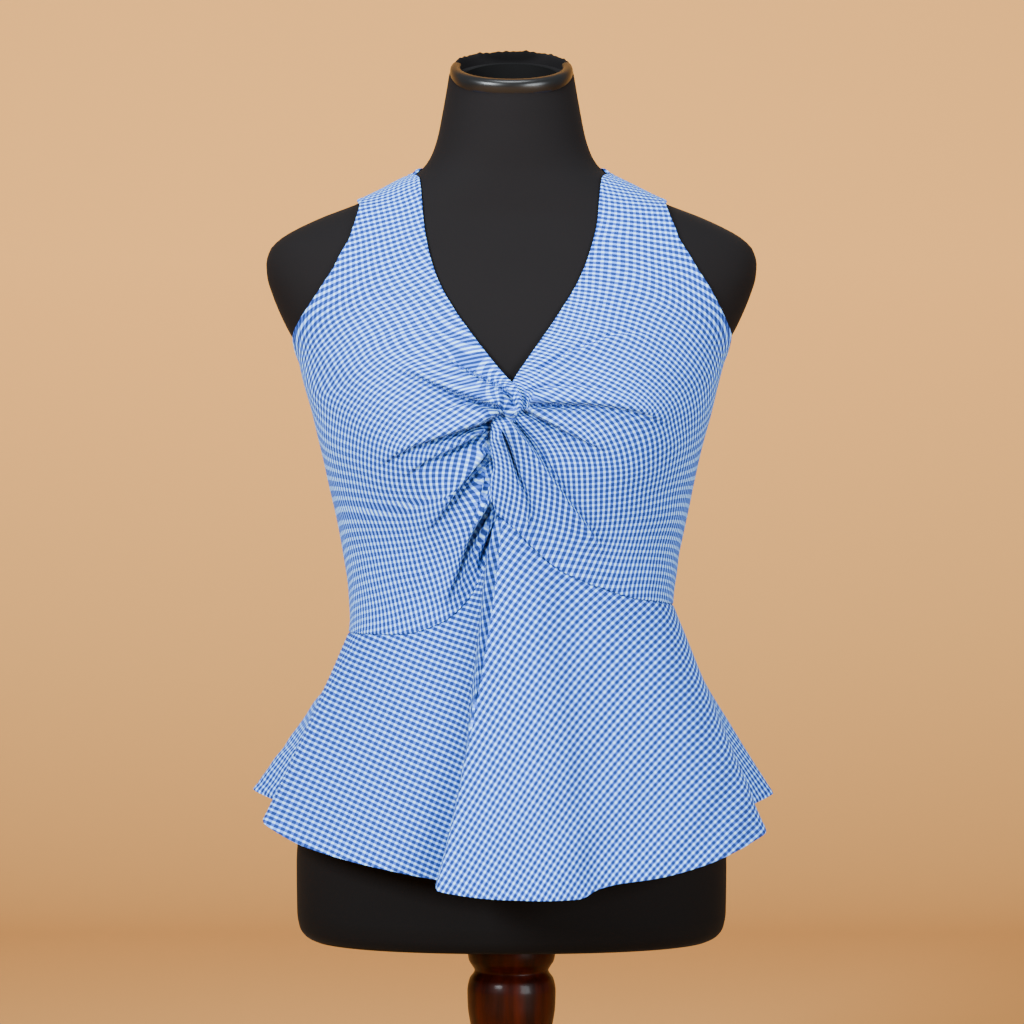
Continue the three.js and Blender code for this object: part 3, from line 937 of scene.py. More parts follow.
    def laid(self, rounds: int, refits: int = 0) -> Array:
        """Args:
            rounds: how many rounds the solver takes.
            refits: how many times the threads' lean is fitted again to keep the squares square.

        Returns:
            The two coordinates at each point, in periods of the check.
        """
        turn = self.turn
        x = self._solve(self._wanted(turn), self._start(rounds), rounds // 4)
        for _ in range(refits):
            along, across = np.zeros_like(turn), np.zeros_like(turn)
            for axis, want in enumerate(self._wanted(turn)):
                weight, got = self.weight[axis], np.diff(x, axis=axis)
                dot = weight * (want * got).sum(-1)
                cross = weight * (want[..., 0] * got[..., 1] - want[..., 1] * got[..., 0])
                for field, part in ((along, dot), (across, cross)):
                    low = [slice(None)] * 2
                    high = [slice(None)] * 2
                    low[axis], high[axis] = slice(None, -1), slice(1, None)
                    field[tuple(low)] += part
                    field[tuple(high)] += part
            turn = turn - np.arctan2(across, along)
            x = self._solve(self._wanted(turn), x, rounds // 3)
        return x / self.PERIODS

    def at_corners(self, laid: Array, faces: Array, splits: Iterable[Array] = ()) -> Array:
        """The check at each corner of each face, kept whole up to a crease from both sides.

        Args:
            laid: the coordinates at each point.
            faces: the outer face's triangles.
            splits: which side of each crease each point is on.

        Returns:
            The two coordinates at each corner.
        """
        flat, points = laid.reshape(-1, 2), self.points.reshape(-1, 3)
        corners = flat[faces]
        threads = np.stack(self._threads(self.turn), axis=-2).reshape(-1, 2, 3)
        for split in splits:
            sides = split.reshape(-1)[faces]
            mixed = np.flatnonzero((sides != 0).all(axis=1) & (np.abs(sides.sum(axis=1)) == 1))
            odd = np.argmax(sides[mixed] == -np.sign(sides[mixed].sum(axis=1))[:, None], axis=1)
            lone = faces[mixed, odd]
            guess = np.zeros((len(mixed), 2))
            for turn in (1, 2):
                own = faces[mixed, (odd + turn) % 3]
                step = points[lone] - points[own]
                guess += flat[own] + (threads[own] @ step[:, :, None])[..., 0] / self.PERIODS
            corners[mixed, odd] = guess / 2
        return corners


def turn_as_seen(points: Array, lean: Array) -> Array:
    """The threads' lean over a surface from how they lean in the front view.

    Args:
        points: a grid over the surface, in millimetres.
        lean: how far the threads lean from upright as seen from in front, in degrees.

    Returns:
        How far they lean from the surface's own upright, in degrees.
    """
    out = grid_outwards(points)
    up = unit(np.array([0, 0, 1.0]) - out[..., 2:] * out)
    round_it = np.cross(up, out)
    facing = np.where(round_it[..., 0] < 0, -1, 1) * np.maximum(np.abs(round_it[..., 0]), FACING)
    height = np.cos(np.radians(lean)) / np.maximum(up[..., 2], FACING)
    across = (-np.sin(np.radians(lean)) - height * up[..., 0]) / facing
    seen_turn = np.degrees(np.arctan2(-across, height))
    return mix(1.25 * lean, seen_turn, smooth((-out[..., 1] - FACING) / FACING))


def grain_turn(grain: Sequence[tuple[float, float, float]], relief: Relief, reach: float) -> Array:
    """The threads' lean over the front, blended from the table of measured ones.

    Args:
        grain: across, level and lean at the measured places.
        relief: the folds; a measured lean counts for little on the other side of a crease.
        reach: how far each measured lean counts, in millimetres.

    Returns:
        The lean at each place, in degrees.
    """
    rows, places = np.array(grain, float), relief.places
    lines = [curve_through(c.points) for c in relief.creases if c.cut]
    here = [at for c, at in zip(relief.creases, relief.beside) if c.cut]
    total, weight = np.zeros(places.shape[:-1]), np.full(places.shape[:-1], 1e-30)
    for across, level, turn in rows:
        spot = front_view(np.array([across, -108.0, DATUM + level]))
        gap = ((places - spot) ** 2).sum(-1) / reach**2
        near = np.exp(-gap) + 1e-4 / (1 + gap) ** 2
        for line, (signed, share) in zip(lines, here):
            own_side, own_share = beside(line, spot[None])
            if 0.0 < own_share[0] < 0.97 and abs(own_side[0]) < 34:
                apart = (signed * own_side[0] < 0) & (share < 0.95) & (np.abs(signed) < 34)
                near = np.where(apart, near * mix(0.02, 1.0, smooth((share - 0.75) / 0.2)), near)
        total += near * turn
        weight += near
    return total / weight


@dataclass
class Wall:
    """A closed sheet between an outer grid of points and an inner one of every second point."""

    outer: Array
    inner: Array

    def __post_init__(self) -> None:
        """Thins the inner grid, which has an even number of steps each way."""
        self.inner = self.inner[::2, ::2]

    def faces(self) -> Array:
        """The three corners of each face, counted through the outer grid and then the inner.

        Returns:
            A row for each triangle.
        """
        rows, columns = self.outer.shape[:2]
        at = np.arange(rows * columns).reshape(rows, columns)
        back = rows * columns + np.arange(self.inner.shape[0] * self.inner.shape[1])
        back = back.reshape(self.inner.shape[:2])
        made = self.tiled(at) + self.tiled(back[:, ::-1])
        for edge, behind in (
            (at[0], back[0]),
            (at[:, -1], back[:, -1]),
            (at[-1, ::-1], back[-1, ::-1]),
            (at[::-1, 0], back[::-1, 0]),
        ):
            first, middle, last = edge[:-1:2], edge[1::2], edge[2::2]
            low, high = behind[:-1], behind[1:]
            for corners in ((middle, first, low), (middle, low, high), (middle, high, last)):
                made.append(np.stack(corners, axis=-1))
        return np.concatenate(made)

    @staticmethod
    def tiled(at: Array) -> list[Array]:
        """Two triangles for each cell of a grid."""
        a, b, c, d = at[:-1, :-1], at[:-1, 1:], at[1:, 1:], at[1:, :-1]
        return [np.stack(corners, axis=-1).reshape(-1, 3) for corners in ((a, b, c), (a, c, d))]

    def cloth_area(self) -> float:
        """The area of the outer face, in square millimetres."""
        first, second = np.diff(self.outer, axis=1)[:-1], np.diff(self.outer, axis=0)[:, :-1]
        return float(np.linalg.norm(np.cross(first, second), axis=-1).sum())

    def points(self) -> Array:
        """The outer and then the inner points, as one list."""
        return np.concatenate([self.outer.reshape(-1, 3), self.inner.reshape(-1, 3)])


def tucked(outer: Array, inner: Array, out: Array, axis: int, end: int) -> tuple[Array, Array]:
    """Adds a seam allowance that runs on under the next piece.

    Args:
        outer: the outer grid.
        inner: the inner grid.
        out: which way is out at each point.
        axis: 0 for an allowance past a row, 1 for one past a column.
        end: 0 past the first row or column, -1 past the last.

    Returns:
        Both grids with four more rows or columns there.
    """
    grids = [np.moveaxis(grid, axis, 0) for grid in (outer, inner, out)]
    if end == -1:
        grids = [grid[::-1] for grid in grids]
    face, lining, away = grids
    onward = unit(lining[0] - lining[1])
    added = [lining[0] + onward * reach - away[0] * TUCKED_UNDER for reach in TUCKED_ROWS]
    face = np.concatenate([np.stack(added), face])
    lining = np.concatenate([np.stack([row - away[0] * TUCKED_CLOTH for row in added]), lining])
    if end == -1:
        face, lining = face[::-1], lining[::-1]
    return np.moveaxis(face, 0, axis), np.moveaxis(lining, 0, axis)


def tucked_sides(outer: Array, inner: Array, out: Array) -> tuple[Array, Array]:
    """Adds a seam allowance at both sides, as tucked does at one.

    Args:
        outer: the outer grid.
        inner: the inner grid.
        out: which way is out at each point.

    Returns:
        Both grids with four more columns at each side.
    """
    outer, inner = tucked(outer, inner, out, 1, 0)
    out = np.pad(out, ((0, 0), (len(TUCKED_ROWS), 0), (0, 0)), mode="edge")
    return tucked(outer, inner, out, 1, -1)


def mesh_object(
    name: str,
    points: Array,
    faces: Array,
    material: bpy.types.Material,
    check: Array | None = None,
    shade: Array | None = None,
) -> bpy.types.Object:
    """Makes an object from points in millimetres.

    Args:
        name: the piece's name.
        points: its corners, in millimetres.
        faces: rows of three or four corners each.
        material: its finish.
        check: the check's coordinates at each corner of each face, for cloth.
        shade: the painted shade at each point, for cloth, most deep in a crease.

    Returns:
        The new object, smooth except at its sharp edges.
    """
    sides = faces.shape[1]
    first, second, third = (points[faces[:, k]] for k in range(3))
    if (first * np.cross(second, third)).sum() < 0:
        faces, check = faces[:, ::-1], None if check is None else check[:, ::-1]
    mesh = bpy.data.meshes.new(name)
    mesh.vertices.add(len(points))
    mesh.vertices.foreach_set("co", (points / 1000).astype(np.float32).ravel())
    mesh.loops.add(faces.size)
    mesh.loops.foreach_set("vertex_index", faces.astype(np.int32).ravel())
    mesh.polygons.add(len(faces))
    mesh.polygons.foreach_set("loop_start", np.arange(0, faces.size, sides, dtype=np.int32))
    if check is not None:
        layer = mesh.uv_layers.new(name="Check")
        layer.data.foreach_set("uv", check.astype(np.float32).ravel())
    # The Shade attribute is painted shade: it darkens the cloth's colour
    if shade is not None:
        field = mesh.attributes.new("Shade", "FLOAT", "POINT")
        field.data.foreach_set("value", shade.astype(np.float32).ravel())
    mesh.update(calc_edges=True)
    mesh.validate()
    mesh.shade_smooth()
    mesh.set_sharp_from_angle(angle=math.radians(SHARP_ANGLE))
    mesh.materials.append(material)
    piece = bpy.data.objects.new(name, mesh)
    bpy.context.scene.collection.objects.link(piece)
    return piece


def edge_distance(points: Array) -> dict[str, Array]:
    """How far each point of a grid is from each of its four edges, along the grid.

    Args:
        points: the grid, with its lowest row first.

    Returns:
        A grid of distances under each edge's name.
    """
    up, round_it = along_rows(points, 0), along_rows(points, 1)
    return {
        "bottom": up,
        "top": up[-1:] - up,
        "first": round_it,
        "last": round_it[:, -1:] - round_it,
    }


def turned_edge(distance: Array, stitched: float = 4.0) -> Array:
    """The lift of a turned and stitched edge: round at the fold and drawn in along the stitches.

    Args:
        distance: how far each point is from the edge.
        stitched: how far in the stitches run.

    Returns:
        The lift at each point.
    """
    fold = -0.45 * np.clip(1 - distance / 0.9, 0, 1) ** 2
    puff = 0.22 * np.exp(-(((distance - stitched / 2) / 1.3) ** 2))
    drawn = -0.3 * np.exp(-(((distance - stitched) / 0.7) ** 2))
    return fold + puff + drawn


def seam_edge(distance: Array) -> Array:
    """The lift of a sewn edge that turns under into its seam."""
    return -0.6 * np.clip(1 - distance / 1.6, 0, 1) ** 2


def ripples(places: Array, seed: int, size: float, height: float) -> Array:
    """Small even unevenness of worn cloth, the same each time for one seed.

    Args:
        places: where the cloth is, on a plane or along its grid.
        seed: which of the random patterns it is.
        size: about how far apart its ripples are.
        height: how high they would be if they all met.

    Returns:
        The lift at each place.
    """
    chance = np.random.default_rng(seed)
    total = np.zeros(places.shape[:-1])
    for _ in range(9):
        heading, phase = chance.uniform(0, 2 * math.pi, 2)
        pace = 2 * math.pi / (size * chance.uniform(0.6, 1.6))
        total += np.cos(pace * (places @ [math.cos(heading), math.sin(heading)]) + phase)
    return total * height / 9


@dataclass
class ClothPiece:
    """One cut and sewn piece of the top, over the solid that stands for it."""

    node: str
    flat: tuple[float, float]
    area: float
    held: str = "stretched"
    rests_on: tuple[str, ...] = ("dress_form",)

    def dress(
        self,
        wall: Wall,
        check: Check,
        laid: Array,
        gingham: bpy.types.Material,
        shade: Array | None = None,
        splits: Iterable[Array] = (),
    ) -> bpy.types.Object:
        """Makes the piece and logs its area of cloth.

        Args:
            wall: its two faces.
            check: the check over the outer face.
            laid: the check's coordinates at each of its points.
            gingham: its finish.
            shade: the painted shade at each of those points, from 0 to 1, most deep in a fold.
            splits: which side of each crease each of them is on.

        Returns:
            The piece, in place of its solid.
        """
        faces = wall.faces()
        count = laid.shape[0] * laid.shape[1]
        everywhere = np.concatenate([laid.reshape(-1, 2), laid[::2, ::2].reshape(-1, 2)])
        corners = everywhere[faces]
        outer = (faces < count).all(axis=1)
        corners[outer] = check.at_corners(laid, faces[outer], splits)
        # Painted shade at each point, none on the inner face
        depth = np.zeros(len(everywhere))
        if shade is not None:
            depth[:count] = shade.ravel()
        log.info("%s: %.4f square metres of cloth", self.node, wall.cloth_area() / 1e6)
        piece = mesh_object(f"{self.node}_cloth", wall.points(), faces, gingham, corners, depth)
        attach(piece, "root")
        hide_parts(self.node)
        return piece


def seam_drop(angle: Array) -> Array:
    """How far under the waist seam the peplum starts, so that the gap is even where it is steep.

    Args:
        angle: the angle of each of its columns.

    Returns:
        The drop at each, in millimetres.
    """
    radius = -float(CLOTH_FIGURE.point(0, WAIST_SEAM.at("level", 0))[1])
    rise = WAIST_SEAM.at("level", angle + 0.5) - WAIST_SEAM.at("level", angle - 0.5)
    return SEAM_GAP * np.hypot(1, rise / (math.radians(1) * radius))


@dataclass
class FrontHalf(ClothPiece):
    """Half of the front, from the waist seam over the bust to the shoulder line."""

    side: Side = Side.RIGHT
    columns: int = 201
    rows: int = 391
    swell: float = 6.0

    def inner_edge(self, v: Array) -> tuple[Array, Array]:
        """The centre and neckline edge, as angle and level.

        Args:
            v: the share of the way up.

        Returns:
            The angles, as on the wearer's left, and the levels.
        """
        level = mix(MEETING_EDGE["level"][0], NECKLINE["level"][-1], v)
        on_neck = level > NECKLINE["level"][0]
        meeting = self.side.value * MEETING_EDGE.at(self.side.column, level)
        across = np.where(on_neck, NECKLINE.at(self.side.column, level), meeting)
        angle = CLOTH_FIGURE.angle_at(level, across)
        gap = math.degrees(SEAM_GAP / 2 / 97)
        angle = np.where(v == 0, self.side.value * MEETING_ANGLE, angle)
        angle = np.where(level >= NECKLINE["level"][-1], 90, angle)
        return angle + np.where(on_neck, 0, gap), level

    def outer_edge(self, v: Array) -> tuple[Array, Array]:
        """The side seam and armhole edge, as angle and level.

        Args:
            v: the share of the way up.

        Returns:
            The angles, as on the wearer's left, and the levels.
        """
        low = WAIST_SEAM.at("level", self.side.value * SIDE_SEAM)
        level = mix(low, ARMHOLE["level"][-1], v)
        return ARMHOLE.at(self.side.column, level), level

    def places(self) -> tuple[Array, Array, Array]:
        """Where the grid's points are on the figure.

        Returns:
            The points' angles and levels, and their share of the way from the side to the centre.
        """
        spots = np.linspace(0, 1, 400)
        up = np.concatenate([[0], np.cumsum(np.where(spots < 0.46, 1.75, 1.0)[1:])])
        v = np.interp(np.linspace(0, up[-1], self.rows), up, spots)[:, None]
        u = 1 - (1 - np.linspace(0, 1, self.columns)[None, :]) ** 1.3
        inner, outer = self.inner_edge(v), self.outer_edge(v)
        seam_angle = mix(SIDE_SEAM, self.inner_edge(np.zeros((1, 1)))[0], u)
        bottom = (seam_angle, WAIST_SEAM.at("level", self.side.value * seam_angle))
        top_level = mix(ARMHOLE["level"][-1], NECKLINE["level"][-1], u)
        top = (np.full_like(u, 90.0), top_level)
        grid = []
        for k in range(2):
            sides, ends = mix(outer[k], inner[k], u), mix(bottom[k], top[k], v)
            low, high = (mix(end[k][:, :1], end[k][:, -1:], u) for end in (bottom, top))
            grid.append(sides + ends - mix(low, high, v))
        return self.side.value * grid[0], grid[1], np.broadcast_to(u, grid[0].shape)

    def crossing(self, seen_at: Array) -> Array:
        """How the halves pass over and under each other at the twist.

        Args:
            seen_at: where each point is in the front view.

        Returns:
            How far each is raised.
        """
        across, level = seen_at[..., 0], seen_at[..., 1]
        high = smooth((level - 74) / 6) * smooth((108 - level) / 14)
        low = smooth((78 - level) / 6) * smooth((level + 10) / 26)
        if self.side is Side.RIGHT:
            over = 4.2 * smooth((across + 22) / 14) * high
            under = -4.5 * smooth((across + 27) / 10) * low
            return over + under
        over = 3.4 * np.exp(-(((across + 10) / 12) ** 2)) * low
        behind = smooth((21 - across) / 9) * smooth((level - 72) / 6) * smooth((112 - level) / 10)
        return over - 3.4 * behind

    def build(self, gingham: bpy.types.Material) -> bpy.types.Object:
        """Makes the half, with its folds and its check.

        Args:
            gingham: its finish.

        Returns:
            The piece, in place of its solid.
        """
        angle, level, u = self.places()
        base, out = CLOTH_FIGURE.point(angle, level), CLOTH_FIGURE.outwards(angle, level)
        seen_at = front_view(base + out * (CLEARANCE + CLOTH))
        relief = Relief(self.side, seen_at)
        distance = edge_distance(base)
        across, up = seen_at[..., 0] / 34, (seen_at[..., 1] - 78) / 22
        swell = self.swell * np.exp(-(across**2 + up**2))
        settled = smooth(distance["bottom"] / 12) * smooth(distance["top"] / 20) * smooth(u / 0.08)
        folds = relief.lift() + ripples(seen_at, 11 + self.side.value, 34, 0.9)
        raised = (folds + swell + self.crossing(seen_at)) * settled
        body = np.maximum(CLEARANCE + CLOTH + raised, 2.0)
        edge, middle = self.edges(level, distance)
        body -= 2.4 * np.clip(1 - middle / 2.6, 0, 1) ** 2 * settled
        body = np.maximum(body, 1.6)
        outer = base + out * (body + edge)[..., None]
        inner = base + out * (body - CLOTH)[..., None]
        turn = grain_turn(RIGHT_GRAIN if self.side is Side.RIGHT else LEFT_GRAIN, relief, 17)
        gathers = np.stack([GATHERS.at(name, level) for name in GATHERS.names[1:]], axis=-1)
        gathers[..., 0] *= -self.side.value
        outer, inner, turn, shade = self.in_order([outer, inner, turn, relief.shade()])
        cuts = self.in_order([relief.cuts(0), relief.cuts(1)])
        gathers = self.in_order([gathers])[0]
        check = Check(outer, turn, (cuts[0], cuts[1]), None, gathers)
        splits = self.in_order(relief.splits())
        return self.dress(Wall(outer, inner), check, check.laid(800), gingham, shade, splits)

    @staticmethod
    def edges(level: Array, distance: dict[str, Array]) -> tuple[Array, Array]:
        """The half's turned and sewn edges.

        Args:
            level: the level of each point of the grid.
            distance: how far each is from the grid's four edges.

        Returns:
            The lift along the edges, and how far each point is from the edge at the centre.
        """
        far = 99.0
        on_neck, on_arm = level > NECKLINE["level"][0], level > ARMHOLE["level"][0]
        neck = np.where(on_neck, distance["last"], far)
        arm = np.where(on_arm, distance["first"], far)
        side = np.where(on_arm, far, distance["first"])
        lift = turned_edge(neck) + turned_edge(arm) + seam_edge(side)
        lift += seam_edge(distance["bottom"]) + seam_edge(distance["top"])
        return lift, np.where(on_neck, far, distance["last"])

    def in_order(self, grids: list[Array]) -> list[Array]:
        """Grids with their columns from the wearer's right to the left, as the mesh has them."""
        return [grid[:, ::-1] for grid in grids] if self.side is Side.LEFT else grids


@dataclass
class RoundTheBack(ClothPiece):
    """A piece that runs round the back, with its ends tucked under the front's two halves."""

    start: float = SIDE_SEAM
    radius: float = 133.0
    columns: int = 181
    rows: int = 67

    def around(self) -> Array:
        """The angle of each column, the first and last just clear of their seams."""
        gap = math.degrees(SEAM_GAP / self.radius)
        return np.linspace(self.start + gap, 360 - self.start - gap, self.columns)[None, :]

    def worn(self, low: Array, high: Array) -> tuple[Array, Array, Array, Array]:
        """The piece's place on the figure.

        Args:
            low: the level of its lower edge at each column.
            high: the level of its upper edge at each column.

        Returns:
            Its angles and levels, its points on the figure, and which way is out at each.
        """
        level = mix(low, high, np.linspace(0, 1, self.rows)[:, None])
        angle = np.broadcast_to(self.around(), level.shape)
        base, out = CLOTH_FIGURE.point(angle, level), CLOTH_FIGURE.outwards(angle, level)
        return angle, level, base, out

    def made(
        self, base: Array, out: Array, lift: Array, lean: float, gingham: bpy.types.Material
    ) -> bpy.types.Object:
        """Makes the piece.

        Args:
            base: its points on the figure.
            out: which way is out at each.
            lift: how far its outer face is lifted there.
            lean: how far its lengthwise threads lean from upright.
            gingham: its finish.

        Returns:
            The piece, in place of its solid.
        """
        outer = base + out * (CLEARANCE + CLOTH + lift)[..., None]
        outer, inner = tucked_sides(outer, base + out * CLEARANCE, out)
        check = Check(outer, np.full(outer.shape[:2], lean))
        return self.dress(Wall(outer, inner), check, check.laid(250), gingham)


@dataclass
class BackBodice(RoundTheBack):
    """The back, from one side seam to the other."""

    def build(self, gingham: bpy.types.Material) -> bpy.types.Object:
        """Makes the back, with its top edge turned and stitched.

        Args:
            gingham: its finish.

        Returns:
            The piece, in place of its solid.
        """
        around = self.around()
        low, high = WAIST_SEAM.at("level", around), BACK_TOP.at("level", around)
        angle, level, base, out = self.worn(low, high)
        distance = edge_distance(base)
        places = np.stack([np.radians(angle) * 130, level], axis=-1)
        sides = np.minimum(distance["first"], distance["last"])
        calm = smooth(sides / 20) * smooth(distance["bottom"] / 16) * smooth(distance["top"] / 12)
        lift = (0.4 + ripples(places, 5, 46, 1.3)) * calm
        lift += turned_edge(distance["top"]) + seam_edge(distance["bottom"]) + seam_edge(sides)
        return self.made(base, out, lift, 0.0, gingham)


@dataclass
class NeckBand(RoundTheBack):
    """The band round the back of the neck, from one shoulder line to the other."""

    start: float = 90.0
    radius: float = 60.0
    columns: int = 161
    rows: int = 31

    def build(self, gingham: bpy.types.Material) -> bpy.types.Object:
        """Makes the band, with both long edges turned and stitched.

        Args:
            gingham: its finish.

        Returns:
            The piece, in place of its solid.
        """
        around = self.around()
        base, out = self.worn(NECK_BAND.at("low", around), NECK_BAND.at("high", around))[2:]
        distance = edge_distance(base)
        lift = turned_edge(distance["top"]) + turned_edge(distance["bottom"])
        lift += seam_edge(np.minimum(distance["first"], distance["last"]))
        return self.made(base, out, lift, 90.0, gingham)


@dataclass
class Peplum(ClothPiece):
    """A flared piece that hangs from the waist seam to the hem."""

    table: Table = PEPLUM_FRONT
    finer: int = 14
    rows: int = 177
    grain: Table = PEPLUM_FRONT_GRAIN
    folded_at: tuple[float, ...] = ()
    seed: int = 3
    under_sides: bool = False

    def build(self, gingham: bpy.types.Material) -> bpy.types.Object:
        """Makes the piece, with its flutes, its hem and its check.

        Args:
            gingham: its finish.

        Returns:
            The piece, in place of its solid.
        """
        by_row, steps = self.table.by_row(), len(self.table.data) - 1
        at = np.linspace(0, steps, steps * self.finer + 1)
        row = {name: by_row.at(name, at)[None] for name in PEPLUM_COLUMNS.split()}
        outer, inner = self.sewn(self.flared(row))
        spare = (outer.shape[1] - row["angle"].shape[1]) // 2
        round_it = np.pad(row["angle"][0], spare, mode="edge")
        lean = np.broadcast_to(self.grain.at("lean", round_it)[None], outer.shape[:2])
        in_view = self.grain is PEPLUM_FRONT_GRAIN
        turn = turn_as_seen(outer, lean) if in_view else lean
        cuts = [np.zeros(np.diff(turn, axis=axis).shape, bool) for axis in (0, 1)]
        for fold_angle in self.folded_at:
            cuts[1][:, np.searchsorted(round_it, fold_angle) - 1] = True
        check = Check(outer, turn, (cuts[0], cuts[1]), lean if in_view else None)
        laid = check.laid(1200, refits=4 if in_view else 0)
        return self.dress(Wall(outer, inner), check, laid, gingham, self.shade(outer, round_it))

    def flared(self, row: dict[str, Array]) -> Array:
        """The smooth flare, from the hem at its first row to the waist seam at its last.

        Args:
            row: what the table says for each column of the grid.

        Returns:
            The grid of points.
        """
        angle, bow = row["angle"], row["bow"]
        start_level = WAIST_SEAM.at("level", angle) - seam_drop(angle)
        start = CLOTH_FIGURE.point(angle, start_level)
        start = start + CLOTH_FIGURE.outwards(angle, start_level) * (CLEARANCE + CLOTH)
        v = np.linspace(0, 1, self.rows)[:, None]
        out_share = (1 - v) ** bow
        x = mix(start[..., 0], row["hem_x"], out_share)
        y = mix(start[..., 1], row["hem_y"], out_share)
        z = mix(start[..., 2], DATUM + row["hem_level"], 1 - v)
        return np.stack([x, y, z], axis=-1)

    def sewn(self, flared: Array) -> tuple[Array, Array]:
        """The cloth's two faces, uneven, hemmed and tucked under at its seams.

        Args:
            flared: the smooth flare that they follow.

        Returns:
            The outer grid and the inner one.
        """
        out, distance = grid_outwards(flared), edge_distance(flared)
        places = np.stack([along_rows(flared, 1), flared[..., 2]], axis=-1)
        sides = np.minimum(distance["first"], distance["last"])
        lift = ripples(places, self.seed, 60, 1.2) * smooth(sides / 30)
        outer = flared + out * (lift * smooth(distance["top"] / 50))[..., None]
        inner = outer - out * CLOTH
        edge = seam_edge(distance["top"]) + seam_edge(sides) + self.hem(distance["bottom"])
        outer, inner = tucked(outer + out * edge[..., None], inner, out, 0, -1)
        if self.under_sides:
            added = len(TUCKED_ROWS)
            out = np.pad(out, ((0, added), (0, 0), (0, 0)), mode="edge")
            outer, inner = tucked_sides(outer, inner, out)
        return outer, inner

    def shade(self, outer: Array, round_it: Array) -> Array:
        """Painted shade: an even share over the piece, more on the deep side of the fold.

        Args:
            outer: the outer face.
            round_it: the angle of each of its columns.

        Returns:
            The painted shade at each point, from 0 to 1.
        """
        # Painted shade: an even share darkens the whole piece, and more lies beside the fold's
        # valley
        shade = np.full(outer.shape[:2], 0.12)
        if self.folded_at:
            valley, ridge = (np.searchsorted(round_it, at) - 1 for at in self.folded_at)
            reach = along_rows(outer, 1)
            away = reach[:, [valley]] - reach
            painted_valley_shade = 0.3 * np.exp(-np.maximum(away, 0) / 24) * (away > 0)
            painted_valley_shade[:, valley : ridge + 1] = 0.26
            shade = shade + painted_valley_shade * smooth(edge_distance(outer)["top"] / 30)
        return shade

    @staticmethod
    def hem(distance: Array) -> Array:
        """The lift of the narrow doubled hem, drawn in along its stitches.

        Args:
            distance: how far each point is from the lower edge.

        Returns:
            The lift at each point.
        """
        doubled = 0.25 * smooth((7.5 - distance) / 0.8)
        drawn = -0.35 * np.exp(-(((distance - 6.2) / 0.6) ** 2))
        return doubled + drawn - 0.4 * np.clip(1 - distance / 0.8, 0, 1) ** 2


def skin(rings: Array, start: Array, end: Array) -> tuple[Array, Array]:
    """A skin over closed rings of points, with a point at each end.

    Args:
        rings: rings of points, each counted anticlockwise seen from above and the lowest first.
        start: the point that closes the first ring.
        end: the point that closes the last one.

    Returns:
        The points and the triangles.
    """
    count, size = rings.shape[:2]
    points = np.concatenate([start[None], rings.reshape(-1, 3), end[None]])
    at = 1 + np.arange(count * size).reshape(count, size)
    along = np.roll(at, -1, axis=1)
    sides = [
        np.stack([at[:-1], along[:-1], along[1:]], axis=-1).reshape(-1, 3),
        np.stack([at[:-1], along[1:], at[1:]], axis=-1).reshape(-1, 3),
    ]
    first = np.stack([np.zeros_like(at[0]), along[0], at[0]], axis=-1)
    last = np.stack([np.full_like(at[0], len(points) - 1), at[-1], along[-1]], axis=-1)
    return points, np.concatenate([*sides, first, last])


@dataclass
class DressForm:
    """The limbless form, open down its neck."""

    around: int = 200
    well_radius: float = 38.0
    well_middle: float = -2.0
    well_depth: float = 75.0

    def build(self, jersey: bpy.types.Material) -> bpy.types.Object:
        """Makes the form's padded skin.

        Args:
            jersey: its finish.

        Returns:
            The form, in place of its solid.
        """
        low, high = FORM["level"][0], FORM["level"][-1]
        levels = np.concatenate([np.linspace(low, -318, 14)[:-1], np.linspace(-318, high, 160)])
        angle = np.linspace(0, 360, self.around, endpoint=False)
        rings = FORM_FIGURE.point(angle[None], levels[:, None])
        depths = np.linspace(0, self.well_depth, 8)
        well = [self.well(self.well_radius, angle, depth) for depth in depths]
        rings = np.concatenate([rings, np.stack(well)])
        end = self.well(0.0, angle[:1], self.well_depth)[0]
        points, faces = skin(rings, np.array([0, 0, DATUM + low]), end)
        piece = mesh_object("form_jersey", points, faces, jersey)
        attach(piece, "root")
        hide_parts("dress_form")
        return piece

    def well(self, radius: float, angle: Array, depth: float) -> Array:
        """A ring of the open neck's inside.

        Args:
            radius: how wide it is.
            angle: the angle of each of its points.
            depth: how far down the neck it is.

        Returns:
            The points.
        """
        turn = np.radians(angle)
        y = self.well_middle - radius * np.cos(turn)
        z = DATUM + FORM_FIGURE.neck_top - depth + y * FORM_FIGURE.lean(FORM_FIGURE.neck_top)
        return np.stack([radius * np.sin(turn), y, z], axis=-1)


def lathe(profile: Array, around: int) -> tuple[Array, Array]:
    """A turned shape round the upright axis.

    Args:
        profile: its radius and height, from the lowest middle point to the highest.
        around: how many corners it has round.

    Returns:
        The points and the triangles.
    """
    turn = np.linspace(0, 2 * math.pi, around, endpoint=False)
    radius, height = profile[1:-1, 0, None], profile[1:-1, 1, None]
    flat = [radius * np.sin(turn), -radius * np.cos(turn), height + 0 * turn]
    ends = [np.array([0, 0, profile[i, 1]]) for i in (0, -1)]
    return skin(np.stack(flat, axis=-1), *ends)


def rounded(profile: Sequence[tuple[float, float]], steps: int = 6) -> Array:
    """A profile with a smooth curve through its points, its two ends kept as they are.

    Args:
        profile: its radius and height at a few places.
        steps: how many points stand for each stretch.

    Returns:
        The profile's points.
    """
    inner = np.array(profile[1:-1], float)
    reach = np.concatenate([[0], np.cumsum(np.linalg.norm(np.diff(inner, axis=0), axis=1))])
    table = Table("reach radius height", np.column_stack([reach, inner]))
    spans = [np.linspace(a, b, steps) for a, b in zip(reach[:-1], reach[1:])]
    at = np.unique(np.concatenate(spans))
    curve = np.column_stack([table.at("radius", at), table.at("height", at)])
    return np.concatenate([np.array(profile[:1], float), curve, np.array(profile[-1:], float)])


